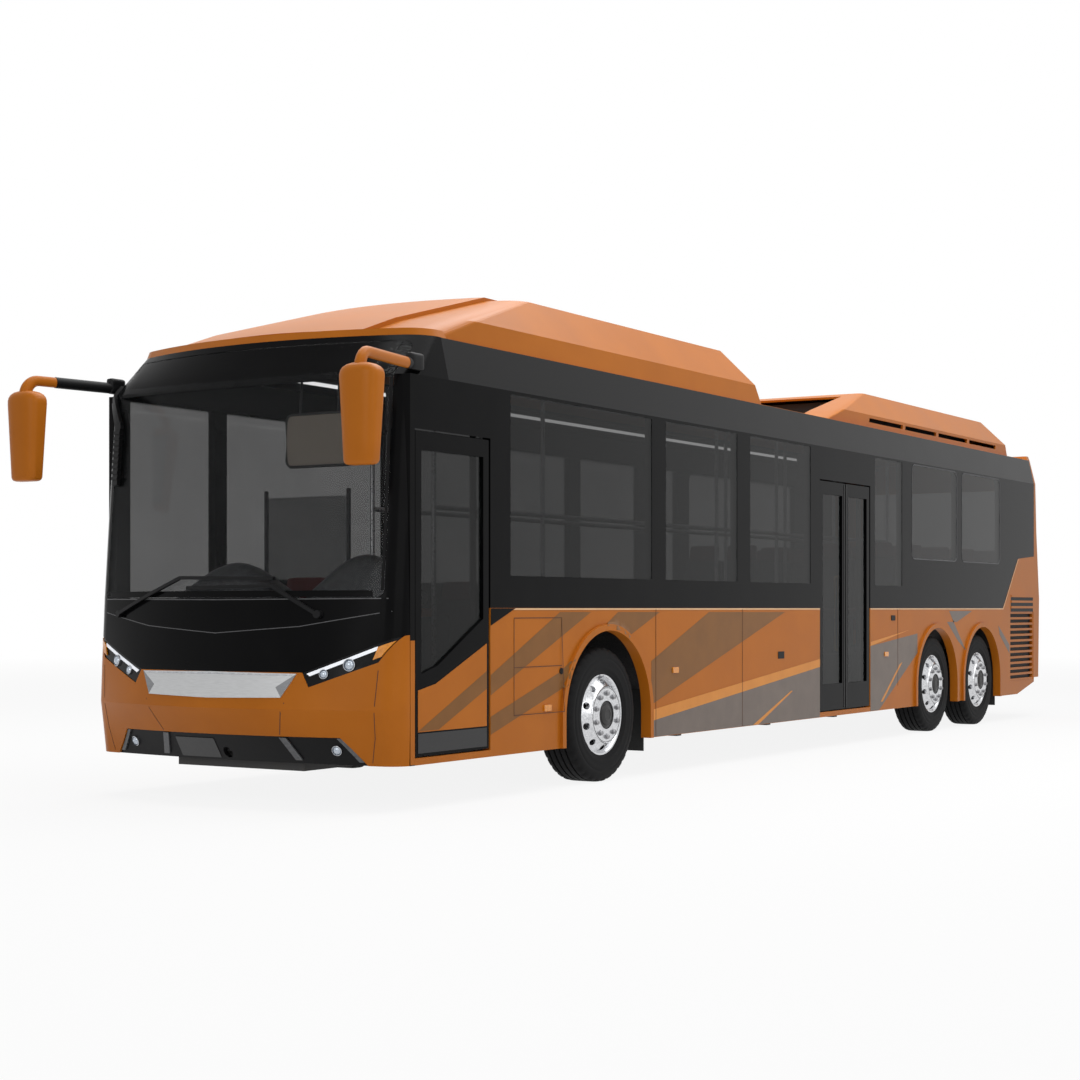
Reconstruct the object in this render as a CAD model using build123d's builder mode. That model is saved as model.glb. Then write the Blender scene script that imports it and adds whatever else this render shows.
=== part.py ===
import os
from math import atan2, cos, degrees, radians, sin, sqrt

from build123d import *

os.makedirs("parts", exist_ok=True)

# Sizes in millimetres. The coach faces -Y, its door side is +X and the road is Z = 0.
BODY_WIDTH = 2500
WALL = 60
GLASS = 12
FIT = 0.3
SKIRT_Z = 280
WAIST_Z = 1238
CANTRAIL_Z = 2660
ROOF_EDGE_Z = 2930
ROOF_CROWN_Z = 3010
ROOF_INSET = 60
FRONT_AXLE_Y = -3450
WHEELBASE = 6600
TANDEM = 1350
NOSE_JOINT = 2390
NOSE_ROOT = 1980
TAIL_JOINT = 1800

# Floor and underframe.
LOW_FLOOR_Z = 380
HIGH_FLOOR_Z = 800
FLOOR_THICK = 60
RAIL_X = 480
RAIL_WIDTH = 80

# Wheels: one size all round, convex discs.
TYRE_RADIUS = 479
TYRE_WIDTH = 276
RIM_RADIUS = 287
HUB_RADIUS = 100
HUB_CLEAR = 0.5
TYRE_INSET = 30
KINGPIN_X = 930
STEER_LIMIT = 40
FRONT_ARCH = 600
REAR_ARCH = 560
ARCH_LIP = 45
ARCH_PROUD = 22

# Doors: the front one has a single leaf, the middle one a pair.
FRONT_DOOR_AHEAD = 2340
FRONT_DOOR_WIDTH = 830
FRONT_DOOR_TOP = 2330
MID_DOOR_AHEAD = 2880
MID_DOOR_WIDTH = 1150
MID_DOOR_TOP = 2370
SILL_TOP = 335
DOOR_GAP = 12
LEAF_THICK = 40
LEAF_INSET = 5
PILLAR_INSET = 85
PILLAR_FROM_EDGE = 75
PIVOT_INSET = 68
DOOR_OUT = 100
FRONT_ARM_REACH = 390
MID_ARM_REACH = 270

HALF = BODY_WIDTH / 2
INSIDE = HALF - WALL
ROOF_HALF = HALF - ROOF_INSET
WHEEL_X = HALF - TYRE_INSET - TYRE_WIDTH / 2
DRIVE_AXLE_Y = FRONT_AXLE_Y + WHEELBASE
TAG_AXLE_Y = DRIVE_AXLE_Y + TANDEM
NOSE_JOINT_Y = FRONT_AXLE_Y - NOSE_JOINT
NOSE_ROOT_Y = FRONT_AXLE_Y - NOSE_ROOT
TAIL_JOINT_Y = TAG_AXLE_Y + TAIL_JOINT
FRONT_DOOR_Y = FRONT_AXLE_Y - FRONT_DOOR_AHEAD
FRONT_DOOR_END = FRONT_DOOR_Y + FRONT_DOOR_WIDTH
MID_DOOR_Y = DRIVE_AXLE_Y - MID_DOOR_AHEAD
MID_DOOR_END = MID_DOOR_Y + MID_DOOR_WIDTH
MID_DOOR_SPLIT = MID_DOOR_Y + MID_DOOR_WIDTH / 2
STEP_Y = DRIVE_AXLE_Y - 1500
FAR = 9000


def save(part, name):
    """Label one sub-part and write its file."""
    part.label = name
    export_step(part, f"parts/{name}.step")


def panel(start, end, low, high, mode=Mode.ADD):
    """A rectangle given by its edges, on the sketch at hand."""
    with Locations(((start + end) / 2, (low + high) / 2)):
        Rectangle(end - start, high - low, mode=mode)


def block(x_range, y_range, z_range, mode=Mode.ADD):
    """A box given by its faces, in the part at hand."""
    centre = [(low + high) / 2 for low, high in (x_range, y_range, z_range)]
    with Locations(tuple(centre)):
        Box(*[high - low for low, high in (x_range, y_range, z_range)], mode=mode)


def mirrored_outline(points, mode=Mode.ADD):
    """A face from the points of its +X half, on the sketch at hand."""
    with BuildLine(mode=Mode.PRIVATE) as outline:
        Polyline(*points, *[(-x, z) for x, z in reversed(points) if x], close=True)
    make_face(outline.edges(), mode=mode)


# Nose: level sections of the bowed, raked front. Ahead distances are from the front axle.
# Columns: level, nose tip ahead, corner ahead, half width, corner radius.
NOSE_LEVELS = (
    (SKIRT_Z, 2600, 2480, HALF, 150),
    (620, 2820, 2500, HALF, 180),
    (880, 2760, 2500, HALF, 180),
    (1300, 2705, 2485, HALF, 180),
    (CANTRAIL_Z, 2495, 2415, HALF, 180),
    (ROOF_EDGE_Z, 2400, 2150, ROOF_HALF, 220),
)
# Tail: level sections of the upright, lightly raked rear. Behind distances are from the tag axle.
# Columns: level, middle behind, corner behind, half width, corner radius.
TAIL_LEVELS = (
    (450, 2100, 2050, HALF, 110),
    (1350, 2130, 2080, HALF, 110),
    (2100, 2030, 1980, HALF, 110),
    (CANTRAIL_Z, 1990, 1940, HALF, 110),
    (ROOF_EDGE_Z, 1950, 1900, ROOF_HALF, 90),
)


def end_face(level, tip, corner, half, radius, inset, axle_y, way, root_y):
    """One level section of an end shell, set in from the outer skin by inset."""
    rise = tip - corner
    bow = (half**2 + rise**2) / (2 * rise)
    side = half - inset
    edge = tip - bow + sqrt((bow - inset) ** 2 - side**2)
    tip_y = axle_y + way * (tip - inset)
    edge_y = axle_y + way * edge
    with BuildSketch(Plane.XY.offset(level)) as face:
        with BuildLine():
            start = way * side
            ThreePointArc((start, edge_y), (0, tip_y), (-start, edge_y))
            Polyline((-start, edge_y), (-start, root_y), (start, root_y), (start, edge_y))
        make_face()
        corners = face.vertices().group_by(Axis.Y)[0 if way < 0 else -1]
        fillet(corners, radius - inset)
    return face.sketch


def end_shell(levels, axle_y, way, root_y, outer, inner):
    """The wall between two insets of an end of the body, open above, below and to the cabin."""
    through = 30
    low = (levels[0][0] - through, *levels[0][1:])
    high = (levels[-1][0] + through, *levels[-1][1:])
    with BuildPart() as shell:
        loft([end_face(*row, outer, axle_y, way, root_y) for row in levels], ruled=True)
        hollow = [end_face(*row, inner, axle_y, way, root_y - way * through)
                  for row in (low, *levels, high)]
        loft(hollow, ruled=True, mode=Mode.SUBTRACT)
    return shell.part


def nose_shell(outer, inner):
    """Front wall between two insets, cut back to the joint with the sides below the cantrail."""
    with BuildPart() as shell:
        add(end_shell(NOSE_LEVELS, FRONT_AXLE_Y, -1, NOSE_ROOT_Y, outer, inner))
        block((-FAR, FAR), (NOSE_JOINT_Y, 0), (0, CANTRAIL_Z), mode=Mode.SUBTRACT)
    return shell.part


def tail_shell(outer, inner):
    """Rear wall between two insets."""
    return end_shell(TAIL_LEVELS, TAG_AXLE_Y, 1, TAIL_JOINT_Y, outer, inner)


NOSE_WALL = nose_shell(0, WALL)
TAIL_WALL = tail_shell(0, WALL)

# Front view outlines, +X half only, as (x, level).
MASK_EDGE = ((0, 845), (660, 845), (950, 955), (1240, 1070), (1300, 1100))
BAR = ((0, 845), (630, 838), (540, 692), (0, 682))
LAMP = ((660, 845), (950, 955), (1240, 1070), (1130, 910), (710, 755))
INSERT = ((0, 450), (880, 450), (1050, 260), (0, 200))
SCREEN_HALF = 1150
SCREEN_LOW = 1300
SCREEN_HIGH = 2890
SCREEN_CORNER = 60


def screen_face(shrink=0.0, mode=Mode.ADD):
    """The windscreen's outline in front view."""
    with Locations((0, (SCREEN_LOW + SCREEN_HIGH) / 2)):
        width = 2 * (SCREEN_HALF - shrink)
        height = SCREEN_HIGH - SCREEN_LOW - 2 * shrink
        RectangleRounded(width, height, SCREEN_CORNER, mode=mode)


def lamp_faces(shrink=0.0, mode=Mode.ADD):
    """Both headlamp outlines in front view."""
    for side in (1, -1):
        with BuildSketch(Plane.XY, mode=Mode.PRIVATE) as lamp:
            with BuildLine():
                Polyline(*[(side * x, z) for x, z in LAMP], close=True)
            make_face()
            if shrink:
                offset(amount=-shrink)
        add(lamp.sketch, mode=mode)


# Black front mask round the windscreen, from the lamps up to the roof.
with BuildPart() as front_mask:
    add(NOSE_WALL)
    with BuildSketch(Plane.XZ):
        mirrored_outline((*MASK_EDGE, (1300, ROOF_EDGE_Z), (0, ROOF_EDGE_Z)))
        screen_face(mode=Mode.SUBTRACT)
    extrude(amount=FAR, both=True, mode=Mode.INTERSECT)
save(front_mask.part, "front_mask")

# Bowed windscreen, black printed round its edge.
with BuildPart() as windscreen:
    add(nose_shell(2, 2 + GLASS))
    with BuildSketch(Plane.XZ):
        screen_face(FIT)
    extrude(amount=FAR, both=True, mode=Mode.INTERSECT)
save(windscreen.part, "windscreen")

# Painted bumper with corner panels that rise to the door post.
with BuildPart() as front_bumper:
    add(NOSE_WALL)
    with BuildSketch(Plane.XZ):
        mirrored_outline((*[(x, z - FIT) for x, z in MASK_EDGE], (1300, SKIRT_Z), (0, SKIRT_Z)))
        mirrored_outline(BAR, mode=Mode.SUBTRACT)
        mirrored_outline(INSERT, mode=Mode.SUBTRACT)
        lamp_faces(mode=Mode.SUBTRACT)
    extrude(amount=FAR, both=True, mode=Mode.INTERSECT)
save(front_bumper.part, "front_bumper")

# Satin bar between the lamps.
with BuildPart() as silver_bar:
    add(nose_shell(-6, 40))
    with BuildSketch(Plane.XZ):
        mirrored_outline(BAR)
        offset(amount=-FIT)
    extrude(amount=FAR, both=True, mode=Mode.INTERSECT)
save(silver_bar.part, "silver_bar")

# Black lower insert with the tow eye's hole.
TOW_Z = 330
TOW_HOLE = 35
with BuildPart() as bumper_insert:
    add(nose_shell(20, WALL))
    with BuildSketch(Plane.XZ):
        mirrored_outline(INSERT)
        offset(amount=-FIT)
        with Locations((0, TOW_Z)):
            Circle(TOW_HOLE, mode=Mode.SUBTRACT)
    extrude(amount=FAR, both=True, mode=Mode.INTERSECT)
save(bumper_insert.part, "bumper_insert")

# Angular headlamps.
with BuildPart() as headlamps:
    add(nose_shell(6, 50))
    with BuildSketch(Plane.XZ):
        lamp_faces(FIT)
    extrude(amount=FAR, both=True, mode=Mode.INTERSECT)
save(headlamps.part, "headlamps")

# Wipers: columns are pivot x, blade's near end, blade's far end, blade level.
WIPER_PIVOT_Z = 1200
WIPERS = (
    (750, 420, -260, 1375),
    (-950, -330, 430, 1430),
)
WIPER_PROUD = 30
WIPER_LIFT = 8
with BuildPart() as wipers:
    add(nose_shell(-WIPER_PROUD, -WIPER_LIFT))
    with BuildSketch(Plane.XZ):
        for pivot_x, near_x, far_x, blade_z in WIPERS:
            with BuildLine(mode=Mode.PRIVATE) as arm:
                Polyline((pivot_x, WIPER_PIVOT_Z), (near_x, blade_z), (far_x, blade_z - 10))
            trace(arm.edges(), 22)
            with Locations((pivot_x, WIPER_PIVOT_Z)):
                Circle(24)
    extrude(amount=FAR, both=True, mode=Mode.INTERSECT)
    bosses = nose_shell(-WIPER_PROUD, -FIT)
    with BuildPart(mode=Mode.PRIVATE) as boss:
        add(bosses)
        with BuildSketch(Plane.XZ):
            for pivot_x, near_x, far_x, blade_z in WIPERS:
                with Locations((pivot_x, WIPER_PIVOT_Z)):
                    Circle(24)
        extrude(amount=FAR, both=True, mode=Mode.INTERSECT)
    add(boss.part)
save(wipers.part, "wipers")

# Mirrors: a pad on each front pillar, a cranked arm and a tapered head.
# Columns: side, pad's low level, pad's high level.
MIRROR_ARM_Z = 2720
MIRROR_AHEAD = 3030
MIRROR_X = HALF + 110
MIRROR_TOP = 2600
MIRROR_FOOT = 2060
MIRROR_PADS = (
    (1, 2680, 2790),
    (-1, 2080, 2790),
)
PAD_AHEAD = (2260, 2400)
PAD_PROUD = 40
with BuildPart() as mirrors:
    add(nose_shell(-PAD_PROUD, -FIT))
    with BuildSketch(Plane.YZ):
        panel(FRONT_AXLE_Y - PAD_AHEAD[1], FRONT_AXLE_Y - PAD_AHEAD[0], CANTRAIL_Z + 20, 2790)
    extrude(amount=FAR, both=True, mode=Mode.INTERSECT)
    for side, low, high in MIRROR_PADS:
        foot = Vector(side * (HALF - 10), FRONT_AXLE_Y - PAD_AHEAD[1] + 40, MIRROR_ARM_Z)
        elbow = Vector(side * MIRROR_X, FRONT_AXLE_Y - MIRROR_AHEAD, MIRROR_ARM_Z)
        reach = elbow - foot
        arm_plane = Plane(origin=foot, x_dir=reach, z_dir=reach.cross(Vector(0, 0, 1)))
        with BuildSketch(arm_plane):
            with BuildLine(mode=Mode.PRIVATE) as route:
                FilletPolyline((0, 0), (reach.length, 0), (reach.length, MIRROR_TOP - MIRROR_ARM_Z - 30),
                               radius=80)
            trace(route.edges(), 70)
        extrude(amount=25, both=True)
        with BuildSketch(Plane.XY.offset(MIRROR_TOP)):
            with Locations((elbow.X, elbow.Y)):
                RectangleRounded(270, 150, 40)
        with BuildSketch(Plane.XY.offset(MIRROR_FOOT)):
            with Locations((elbow.X, elbow.Y)):
                RectangleRounded(210, 110, 35)
        loft()
save(mirrors.part, "mirrors")

# Side windows: start, end, sill level, corner radius, for both sides and for each alone.
WINDOW_TOP = CANTRAIL_Z - 20
BAY_Y = FRONT_AXLE_Y - 1270
BAY = MID_DOOR_Y - 200 - BAY_Y
LOW_SILL = 1450
HIGH_SILL = 1720
SQUARE = 12
ROUND = 70
SHARED_WINDOWS = (
    (BAY_Y, BAY_Y + 0.402 * BAY, LOW_SILL, SQUARE),
    (BAY_Y + 0.448 * BAY, BAY_Y + 0.700 * BAY, LOW_SILL, SQUARE),
    (BAY_Y + 0.750 * BAY, BAY_Y + BAY, LOW_SILL, SQUARE),
    (MID_DOOR_END + 115, DRIVE_AXLE_Y - 930, LOW_SILL, SQUARE),
    (DRIVE_AXLE_Y - 670, DRIVE_AXLE_Y + 600, HIGH_SILL, ROUND),
    (DRIVE_AXLE_Y + 750, DRIVE_AXLE_Y + 1960, HIGH_SILL, ROUND),
)
RIGHT_WINDOWS = (
    (NOSE_JOINT_Y + 140, BAY_Y - 130, LOW_SILL - 200, SQUARE),
    (MID_DOOR_Y, MID_DOOR_END - 20, LOW_SILL, SQUARE),
)
SIDES = (("left", 1, SHARED_WINDOWS), ("right", -1, SHARED_WINDOWS + RIGHT_WINDOWS))


def window_face(start, end, sill, radius, shrink=0.0, mode=Mode.ADD):
    """One side window's outline, on a sketch of the side."""
    with Locations(((start + end) / 2, (sill + WINDOW_TOP) / 2)):
        width = end - start - 2 * shrink
        height = WINDOW_TOP - sill - 2 * shrink
        RectangleRounded(width, height, radius, mode=mode)


# Lower side walls with wheel arches and their raised lips.
ARCHES = ((FRONT_AXLE_Y, FRONT_ARCH), (DRIVE_AXLE_Y, REAR_ARCH), (TAG_AXLE_Y, REAR_ARCH))
GRILLE = (TAG_AXLE_Y + 950, TAIL_JOINT_Y - 20, 430, 1200)
UNDERCUT = ((TAG_AXLE_Y + 1200, SKIRT_Z), (TAIL_JOINT_Y, SKIRT_Z), (TAIL_JOINT_Y, 400))
LEFT_SPANS = ((FRONT_DOOR_END, MID_DOOR_Y), (MID_DOOR_END, TAIL_JOINT_Y))
RIGHT_SPANS = ((NOSE_JOINT_Y, TAIL_JOINT_Y),)
SILLS = ((FRONT_DOOR_Y, FRONT_DOOR_END), (MID_DOOR_Y, MID_DOOR_END))


def arch_face(axle_y, radius, mode=Mode.ADD):
    """A round-topped wheel opening down to the road."""
    with Locations((axle_y, TYRE_RADIUS)):
        Circle(radius, mode=mode)
    panel(axle_y - radius, axle_y + radius, 0, TYRE_RADIUS, mode=mode)


for name, side, spans in (("left", 1, LEFT_SPANS), ("right", -1, RIGHT_SPANS)):
    with BuildPart() as lower_wall:
        with BuildSketch(Plane.YZ.offset(side * HALF)):
            for start, end in spans:
                panel(start, end, SKIRT_Z, WAIST_Z)
            for axle_y, radius in ARCHES:
                arch_face(axle_y, radius, mode=Mode.SUBTRACT)
            panel(*GRILLE, mode=Mode.SUBTRACT)
            with BuildLine(mode=Mode.PRIVATE) as undercut:
                Polyline(*UNDERCUT, close=True)
            make_face(undercut.edges(), mode=Mode.SUBTRACT)
        extrude(amount=-side * WALL)
        with BuildSketch(Plane.YZ.offset(side * HALF)):
            for axle_y, radius in ARCHES:
                arch_face(axle_y, radius + ARCH_LIP)
            for axle_y, radius in ARCHES:
                arch_face(axle_y, radius, mode=Mode.SUBTRACT)
            panel(-FAR, FAR, -FAR, SKIRT_Z, mode=Mode.SUBTRACT)
        extrude(amount=side * ARCH_PROUD)
        if side > 0:
            for start, end in SILLS:
                block((INSIDE, HALF), (start + FIT, end - FIT), (SKIRT_Z, SILL_TOP - DOOR_GAP))
    save(lower_wall.part, f"{name}_lower_wall")

# Slatted vents low on both sides, behind the tag wheels.
SLATS = 12
SLAT_FRAME = 25
with BuildPart() as side_grilles:
    for side in (1, -1):
        start, end, low, high = GRILLE
        pitch = (high - low - SLAT_FRAME) / SLATS
        with BuildSketch(Plane.YZ.offset(side * (HALF - 5))):
            panel(start + FIT, end - FIT, low + FIT, high - FIT)
            for slat in range(SLATS):
                foot = low + SLAT_FRAME + slat * pitch
                panel(start + SLAT_FRAME, end - SLAT_FRAME, foot, foot + pitch - SLAT_FRAME,
                      mode=Mode.SUBTRACT)
        extrude(amount=-side * 30)
save(side_grilles.part, "side_grilles")

# Window walls from the waist to the cantrail, with the door headers on the left.
FRAME_SPANS = {
    "left": (
        (NOSE_JOINT_Y, FRONT_DOOR_Y, SKIRT_Z, FRONT_DOOR_TOP - FIT),
        (NOSE_JOINT_Y, FRONT_DOOR_END - FIT, FRONT_DOOR_TOP, CANTRAIL_Z),
        (FRONT_DOOR_END, MID_DOOR_Y, WAIST_Z, CANTRAIL_Z),
        (MID_DOOR_Y + FIT, MID_DOOR_END - FIT, MID_DOOR_TOP, CANTRAIL_Z),
        (MID_DOOR_END, TAIL_JOINT_Y, WAIST_Z, CANTRAIL_Z),
    ),
    "right": ((NOSE_JOINT_Y, TAIL_JOINT_Y, WAIST_Z, CANTRAIL_Z),),
}
for name, side, windows in SIDES:
    with BuildPart() as window_wall:
        with BuildSketch(Plane.YZ.offset(side * HALF)):
            for span in FRAME_SPANS[name]:
                panel(*span)
            for window in windows:
                window_face(*window, mode=Mode.SUBTRACT)
        extrude(amount=-side * WALL)
    save(window_wall.part, f"{name}_window_wall")

# Bonded panes of both sides and the rear window.
REAR_PANE = (1800, 900, 2150)
with BuildPart() as body_glass:
    for name, side, windows in SIDES:
        with BuildSketch(Plane.YZ.offset(side * (HALF - 3))):
            for window in windows:
                window_face(*window, shrink=FIT)
        extrude(amount=-side * GLASS)
    with BuildPart(mode=Mode.PRIVATE) as rear_pane:
        add(tail_shell(3, 3 + GLASS))
        with BuildSketch(Plane.XZ):
            with Locations((0, REAR_PANE[2])):
                Rectangle(REAR_PANE[0] - 2 * FIT, REAR_PANE[1] - 2 * FIT)
        extrude(amount=FAR, both=True, mode=Mode.INTERSECT)
    add(rear_pane.part)
save(body_glass.part, "body_glass")

# Rear wall with its window, the lid's opening and the lamp pockets.
HATCH = (1500, 900, 1010)
HATCH_GAP = 8
HATCH_THICK = 40
REAR_LAMP = (130, 420, 1060, 1180)
HINGE_X = (-480, 480)
HINGE_Y = TAG_AXLE_Y + TAIL_LEVELS[1][1] - 2
HINGE_Z = HATCH[2] + HATCH[1] / 2 + 16
PIN = 6
BARREL = 12


def rear_lamp_faces(shrink=0.0, mode=Mode.ADD):
    """Both rear lamp outlines, seen from behind."""
    for side in (1, -1):
        with Locations((side * REAR_LAMP[2], REAR_LAMP[3])):
            Rectangle(REAR_LAMP[0] - 2 * shrink, REAR_LAMP[1] - 2 * shrink, mode=mode)


with BuildPart() as rear_wall:
    add(TAIL_WALL)
    with BuildSketch(Plane.XZ):
        panel(-FAR, FAR, 0, FAR)
        with Locations((0, REAR_PANE[2])):
            Rectangle(REAR_PANE[0], REAR_PANE[1], mode=Mode.SUBTRACT)
        with Locations((0, HATCH[2])):
            Rectangle(HATCH[0] + 2 * HATCH_GAP, HATCH[1] + 2 * HATCH_GAP, mode=Mode.SUBTRACT)
        rear_lamp_faces(mode=Mode.SUBTRACT)
    extrude(amount=FAR, both=True, mode=Mode.INTERSECT)
    for x in HINGE_X:
        with Locations(Location((x, HINGE_Y, HINGE_Z), (0, 90, 0))):
            Cylinder(PIN, 150)
        for end in (-70, 70):
            block((x + end - 8, x + end + 8), (HINGE_Y - 40, HINGE_Y + 6), (HINGE_Z - 6, HINGE_Z + 30))
save(rear_wall.part, "rear_wall")

# Rear service lid, hinged along its top edge on two barrels.
with BuildPart() as rear_hatch:
    add(tail_shell(0, HATCH_THICK))
    with BuildSketch(Plane.XZ):
        with Locations((0, HATCH[2])):
            Rectangle(HATCH[0], HATCH[1])
    extrude(amount=FAR, both=True, mode=Mode.INTERSECT)
    lid_top = HATCH[2] + HATCH[1] / 2
    for x in HINGE_X:
        block((x - 50, x + 50), (HINGE_Y - 45, HINGE_Y), (lid_top - 30, lid_top))
        block((x - 50, x + 50), (HINGE_Y - BARREL, HINGE_Y + BARREL), (lid_top - 30, HINGE_Z))
        with Locations(Location((x, HINGE_Y, HINGE_Z), (0, 90, 0))):
            Cylinder(BARREL, 100)
            Cylinder(PIN + FIT, 200, mode=Mode.SUBTRACT)
save(rear_hatch.part, "rear_hatch")

# Rear lamps.
with BuildPart() as rear_lamps:
    add(tail_shell(-4, 45))
    with BuildSketch(Plane.XZ):
        rear_lamp_faces(FIT)
    extrude(amount=FAR, both=True, mode=Mode.INTERSECT)
save(rear_lamps.part, "rear_lamps")

# Roof: arched panel with leaning cantrails, closed over both ends by the end caps.
CAP_THICK = 45
with BuildPart() as roof_panel:
    with BuildSketch(Plane.XZ.offset(-NOSE_ROOT_Y)):
        with BuildLine():
            outer_edge = (ROOF_HALF, ROOF_EDGE_Z)
            inner_edge = (ROOF_HALF - WALL, ROOF_EDGE_Z - WALL)
            ThreePointArc((-outer_edge[0], outer_edge[1]), (0, ROOF_CROWN_Z), outer_edge)
            Polyline(outer_edge, (HALF, CANTRAIL_Z), (INSIDE, CANTRAIL_Z), inner_edge)
            ThreePointArc(inner_edge, (0, ROOF_CROWN_Z - WALL), (-inner_edge[0], inner_edge[1]))
            Polyline((-inner_edge[0], inner_edge[1]), (-INSIDE, CANTRAIL_Z), (-HALF, CANTRAIL_Z),
                     (-outer_edge[0], outer_edge[1]))
        make_face()
    extrude(amount=-(TAIL_JOINT_Y - NOSE_ROOT_Y))
    for levels, axle_y, way, root_y in ((NOSE_LEVELS, FRONT_AXLE_Y, -1, NOSE_ROOT_Y),
                                        (TAIL_LEVELS, TAG_AXLE_Y, 1, TAIL_JOINT_Y)):
        cap = end_face(*levels[-1], 0, axle_y, way, root_y - way * WALL)
        extrude(cap, amount=CAP_THICK, taper=20)
save(roof_panel.part, "roof_panel")

# Roof pods: faceted fairings over the battery packs.
# Columns: level, half width, front y, rear y.
POD_FRONT_Y = NOSE_ROOT_Y - 120
FRONT_POD = (
    (ROOF_EDGE_Z, 1150, POD_FRONT_Y, FRONT_AXLE_Y + 2680),
    (ROOF_EDGE_Z + 150, 1175, POD_FRONT_Y + 400, FRONT_AXLE_Y + 2560),
    (ROOF_EDGE_Z + 420, 980, POD_FRONT_Y + 1370, FRONT_AXLE_Y + 2310),
)
REAR_POD = (
    (ROOF_EDGE_Z, 1120, FRONT_AXLE_Y + 4100, TAG_AXLE_Y + 1250),
    (ROOF_EDGE_Z + 130, 1130, FRONT_AXLE_Y + 4500, TAG_AXLE_Y + 1150),
    (ROOF_EDGE_Z + 370, 950, FRONT_AXLE_Y + 5400, TAG_AXLE_Y + 850),
)
POD_SKIN = 30
ROOF_RISE = ROOF_CROWN_Z - ROOF_EDGE_Z
ROOF_RADIUS = (ROOF_HALF**2 + ROOF_RISE**2) / (2 * ROOF_RISE)


def pod_loft(levels, inset, mode=Mode.ADD):
    """A faceted hood through level rectangles, set in by inset."""
    faces = []
    for level, half, front, rear in levels:
        with BuildSketch(Plane.XY.offset(level - inset)) as face:
            panel(-half + inset, half - inset, front + inset, rear - inset)
        faces.append(face.sketch)
    loft(faces, ruled=True, mode=mode)


for name, levels in (("front_roof_pod", FRONT_POD), ("rear_roof_pod", REAR_POD)):
    with BuildPart() as pod:
        pod_loft(levels, 0)
        pod_loft(levels, POD_SKIN, mode=Mode.SUBTRACT)
        with BuildSketch(Plane.XZ):
            with Locations((0, ROOF_CROWN_Z - ROOF_RADIUS)):
                Circle(ROOF_RADIUS + FIT)
        extrude(amount=FAR, both=True, mode=Mode.SUBTRACT)
        block((-FAR, FAR), (-FAR, NOSE_ROOT_Y + WALL + FIT), (0, ROOF_EDGE_Z + CAP_THICK + FIT),
              mode=Mode.SUBTRACT)
    save(pod.part, name)

# Battery packs under the front pod and cooling units under the rear one, each a plain block.
# Columns: half width, start, end, top level.
PACK_FOOT = ROOF_CROWN_Z + FIT
PACKS = (
    (800, FRONT_AXLE_Y - 500, FRONT_AXLE_Y + 850, 3280),
    (800, FRONT_AXLE_Y + 880, FRONT_AXLE_Y + 2200, 3280),
    (800, FRONT_AXLE_Y + 5450, TAG_AXLE_Y + 700, 3240),
)
with BuildPart() as roof_packs:
    for half, start, end, top in PACKS:
        block((-half, half), (start, end), (PACK_FOOT, top))
save(roof_packs.part, "roof_packs")

# Floor: low from the nose to the step, high over the driven wheels, with wheel housings.
HOUSING_SKIN = 20
FRONT_HOUSING = (600, FRONT_AXLE_Y - 640, FRONT_AXLE_Y + 640, 1150)
REAR_HOUSING = (880, DRIVE_AXLE_Y - 620, TAG_AXLE_Y + 620, 1080)
FLOOR_FRONT_Y = NOSE_JOINT_Y + 60
with BuildPart() as floor_deck:
    with BuildSketch(Plane.YZ):
        panel(FLOOR_FRONT_Y, STEP_Y, LOW_FLOOR_Z - FLOOR_THICK, LOW_FLOOR_Z)
        panel(STEP_Y - FLOOR_THICK, STEP_Y, LOW_FLOOR_Z - FLOOR_THICK, HIGH_FLOOR_Z)
        panel(STEP_Y, TAIL_JOINT_Y, HIGH_FLOOR_Z - FLOOR_THICK, HIGH_FLOOR_Z)
    extrude(amount=INSIDE, both=True)
    for side in (1, -1):
        for (inner, start, end, top), foot in ((FRONT_HOUSING, LOW_FLOOR_Z), (REAR_HOUSING, HIGH_FLOOR_Z)):
            skin = HOUSING_SKIN
            x_range = sorted((side * (inner - skin), side * INSIDE))
            block(x_range, (start - skin, end + skin), (foot - FLOOR_THICK, top + skin))
        for inner, start, end, top in (FRONT_HOUSING, REAR_HOUSING):
            x_range = sorted((side * inner, side * FAR))
            block(x_range, (start, end), (0, top), mode=Mode.SUBTRACT)
save(floor_deck.part, "floor_deck")

# Underframe: two rails with cross members, raised behind the step, and a front tow socket.
RAIL_DEPTH = 95
HIGH_RAIL_DEPTH = 140
LOW_RAIL_TOP = LOW_FLOOR_Z - FLOOR_THICK
HIGH_RAIL_TOP = HIGH_FLOOR_Z - FLOOR_THICK
AXLE_BEAM = (60, 215, 300)
TOW_FRONT_Y = NOSE_JOINT_Y - 110
TOW_RADIUS = 22
TOW_DEPTH = 90
TOW_BOSS = 45
CROSS_MEMBERS = (FRONT_AXLE_Y + 1200, FRONT_AXLE_Y + 2800, FRONT_AXLE_Y + 4200)
HIGH_CROSS_MEMBERS = (DRIVE_AXLE_Y - 900, DRIVE_AXLE_Y + TANDEM / 2, TAG_AXLE_Y + 1100)
JACK_PADS = (FRONT_AXLE_Y + 900, DRIVE_AXLE_Y - 1700)
JACK_PAD = 120
JACK_Z = 205
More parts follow.
